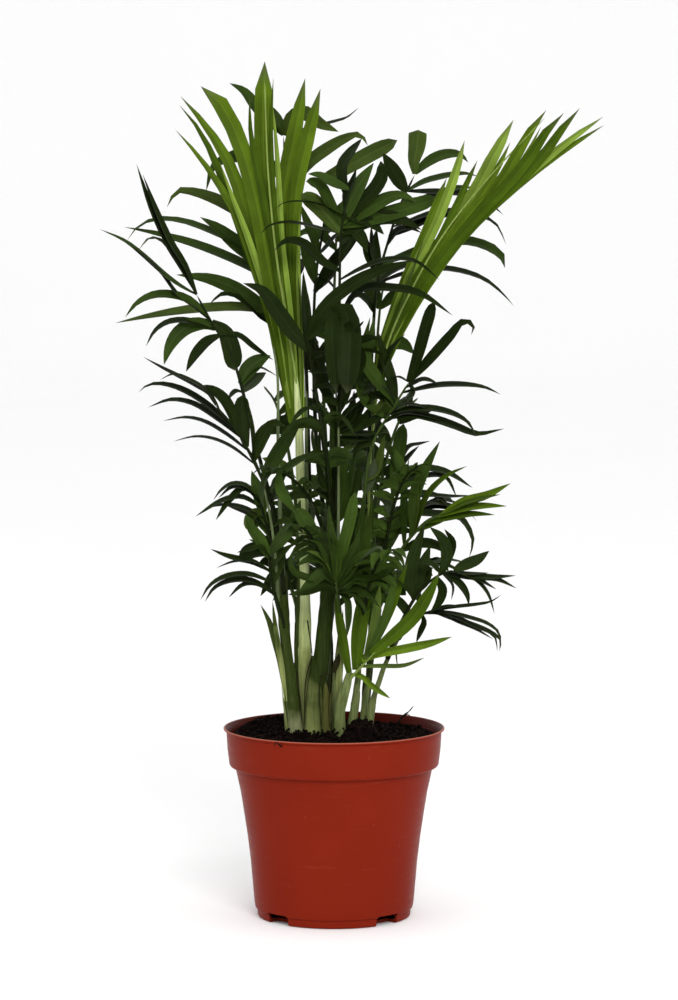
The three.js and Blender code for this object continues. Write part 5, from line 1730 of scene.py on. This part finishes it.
class PALM_OT_fronds(bpy.types.Operator):
    """Grow every frond: its stalk and rib, and the leaflets along it"""

    bl_idname = "palm.fronds"
    bl_label = "Fronds"

    def execute(self, context):
        leaves = context.scene.palm_leaves
        stems = context.scene.palm_stems
        radius = stems.rib / MM
        source = random.Random(LEAF_SEED)
        blades = {kind: Bundle() for kind in LEAF_KINDS}
        ribs = {tone: Bundle() for tone in RIB_TONES}
        # The fronds that each joined piece stands for. Ribs and leaflets of one name share theirs.
        homes = {name: set() for name in [*LEAF_KINDS, *RIB_TONES]}
        for name, frond in FRONDS.items():
            rib = smooth_path(frond.path, RIB_STEPS)
            add_rib(ribs[frond.tone], rib, radius * (1.0 if frond.width else YOUNG_RIB))
            homes[frond.tone].add(name)
            for leaflet in LEAFLETS[name]:
                add_placed_leaflet(blades[leaflet.kind], leaflet, rib, frond.turn, frond.width,
                                   leaves.fold, source)
                homes[leaflet.kind].add(name)
        for name, (*_, longest, kind) in ROUND_FRONDS.items():
            rib = round_rib(name)
            shown = LEAFLETS.get(name, ())
            tone = "dark" if shown else "green"
            add_rib(ribs[tone], rib, radius)
            homes[tone].add(name)
            for leaflet in shown:
                add_placed_leaflet(blades[leaflet.kind], leaflet, rib, 0, FRONT_WIDTH,
                                   leaves.fold, source)
                homes[leaflet.kind].add(name)
            size = FRONT_FILL if shown else 1.0
            add_round_leaflets(blades[kind], rib, longest, size, leaves, source)
            homes[kind].add(name)
        for thickness, *path in STALKS:
            add_rib(ribs["pale"], smooth_path(path, RIB_STEPS), thickness)
        self.finish_ribs(ribs, homes, stems)
        self.finish_blades(blades, homes, leaves)
        return {"FINISHED"}

    def finish_ribs(self, ribs, homes, settings):
        """Stalks and ribs are joined by tone, and stand for the model's fronds."""
        for tone, (setting, slot) in RIB_TONES.items():
            shade = getattr(settings, setting)
            finish = stem_skin(f"rib_skin_{tone}", shade, shade, 100, 200)
            finish_piece(ribs[tone].make(f"palm_ribs_{tone}"), finish, sorted(homes[tone]))

    def finish_blades(self, blades, homes, settings):
        """Leaflets are joined by kind, each with its own plain base colour."""
        for kind, (*looks, slot) in LEAF_KINDS.items():
            finish = leaf_blade(f"leaf_blade_{kind}", getattr(settings, kind), *looks)
            piece = blades[kind].make(f"palm_leaflets_{kind}")
            finish_piece(piece, finish, sorted(homes[kind]))


# ---- stage

class PALM_OT_stage(bpy.types.Operator):
    """Set the pale cove, the soft lights and the camera"""

    bl_idname = "palm.stage"
    bl_label = "Stage"

    def execute(self, context):
        settings = context.scene.palm_stage
        bend = arc((COVE_RADIUS, COVE_BEND), COVE_BEND, -90, 0, 10)[1:]
        floor = [(COVE_DISC, COVE_LEVEL), (COVE_RADIUS, COVE_LEVEL)]
        stations = [*floor, *bend, (COVE_RADIUS + COVE_BEND, COVE_TOP)]
        cove = turned_shape("studio_cove", stations, 96, closed=False)
        cove.data.materials.append(studio_paper(settings))
        cove.data.shade_smooth()
        self.add_sky(context, settings)
        self.add_key(settings)
        self.add_camera(context, settings)
        context.scene.view_settings.view_transform = "Standard"
        return {"FINISHED"}

    def add_sky(self, context, settings):
        """Even white light that falls in over the cove's wall."""
        world = bpy.data.worlds.new("studio_sky")
        world.use_nodes = True
        background = world.node_tree.nodes["Background"]
        background.inputs["Color"].default_value = (1.0, 1.0, 1.0, 1.0)
        background.inputs["Strength"].default_value = settings.sky
        context.scene.world = world

    def add_key(self, settings):
        """A soft light in front and above, a little to the right."""
        select_only()
        aim = (KEY_AIM - KEY_AT).to_track_quat("-Z", "Y")
        bpy.ops.object.light_add(type="AREA", location=KEY_AT, rotation=aim.to_euler())
        key = bpy.context.object
        key.name = "key_light"
        key.data.shape = "RECTANGLE"
        key.data.size, key.data.size_y = KEY_SIZE
        key.data.energy = settings.key

    def add_camera(self, context, settings):
        """A long lens two metres in front, looking down a little."""
        select_only()
        bpy.ops.object.camera_add(
            location=CAMERA_AT * MM, rotation=(math.radians(90 - CAMERA_PITCH), 0, 0))
        camera = context.object
        camera.data.sensor_width = SENSOR
        camera.data.lens = settings.lens
        camera.data.clip_end = 50
        context.scene.camera = camera


# ---- panel and start

SETTINGS = {
    "palm_pot": PalmPotSettings,
    "palm_compost": PalmCompostSettings,
    "palm_stems": PalmStemSettings,
    "palm_leaves": PalmLeafSettings,
    "palm_stage": PalmStageSettings,
}
OPERATORS = (PALM_OT_pot, PALM_OT_compost, PALM_OT_stems, PALM_OT_fronds, PALM_OT_stage)
# Gives a piece its material, and ties it to the model's body and nodes.


class PALM_PT_panel(bpy.types.Panel):
    """Lists the pieces and their settings"""

    bl_idname = "PALM_PT_panel"
    bl_label = "Parlour palm"
    bl_space_type = "VIEW_3D"
    bl_region_type = "UI"
    bl_category = "Palm"

    def draw(self, context):
        for operator in OPERATORS:
            self.layout.operator(operator.bl_idname)
        for group in SETTINGS:
            box = self.layout.box()
            settings = getattr(context.scene, group)
            for name in settings.bl_rna.properties.keys():
                if name not in ("name", "rna_type"):
                    box.prop(settings, name)


def register():
    """Makes the settings, operators and panel known to Blender."""
    for name, group in SETTINGS.items():
        bpy.utils.register_class(group)
        setattr(bpy.types.Scene, name, bpy.props.PointerProperty(type=group))
    for operator in OPERATORS:
        bpy.utils.register_class(operator)
    bpy.utils.register_class(PALM_PT_panel)


def unregister():
    """Takes them away again."""
    bpy.utils.unregister_class(PALM_PT_panel)
    for operator in reversed(OPERATORS):
        bpy.utils.unregister_class(operator)
    for name, group in SETTINGS.items():
        delattr(bpy.types.Scene, name)
        bpy.utils.unregister_class(group)


def main():
    """Builds the plant in its pot."""
    register()
    bpy.ops.palm.pot()
    bpy.ops.palm.compost()
    bpy.ops.palm.stems()
    bpy.ops.palm.fronds()
    bpy.ops.palm.stage()


if __name__ == "__main__":
    main()
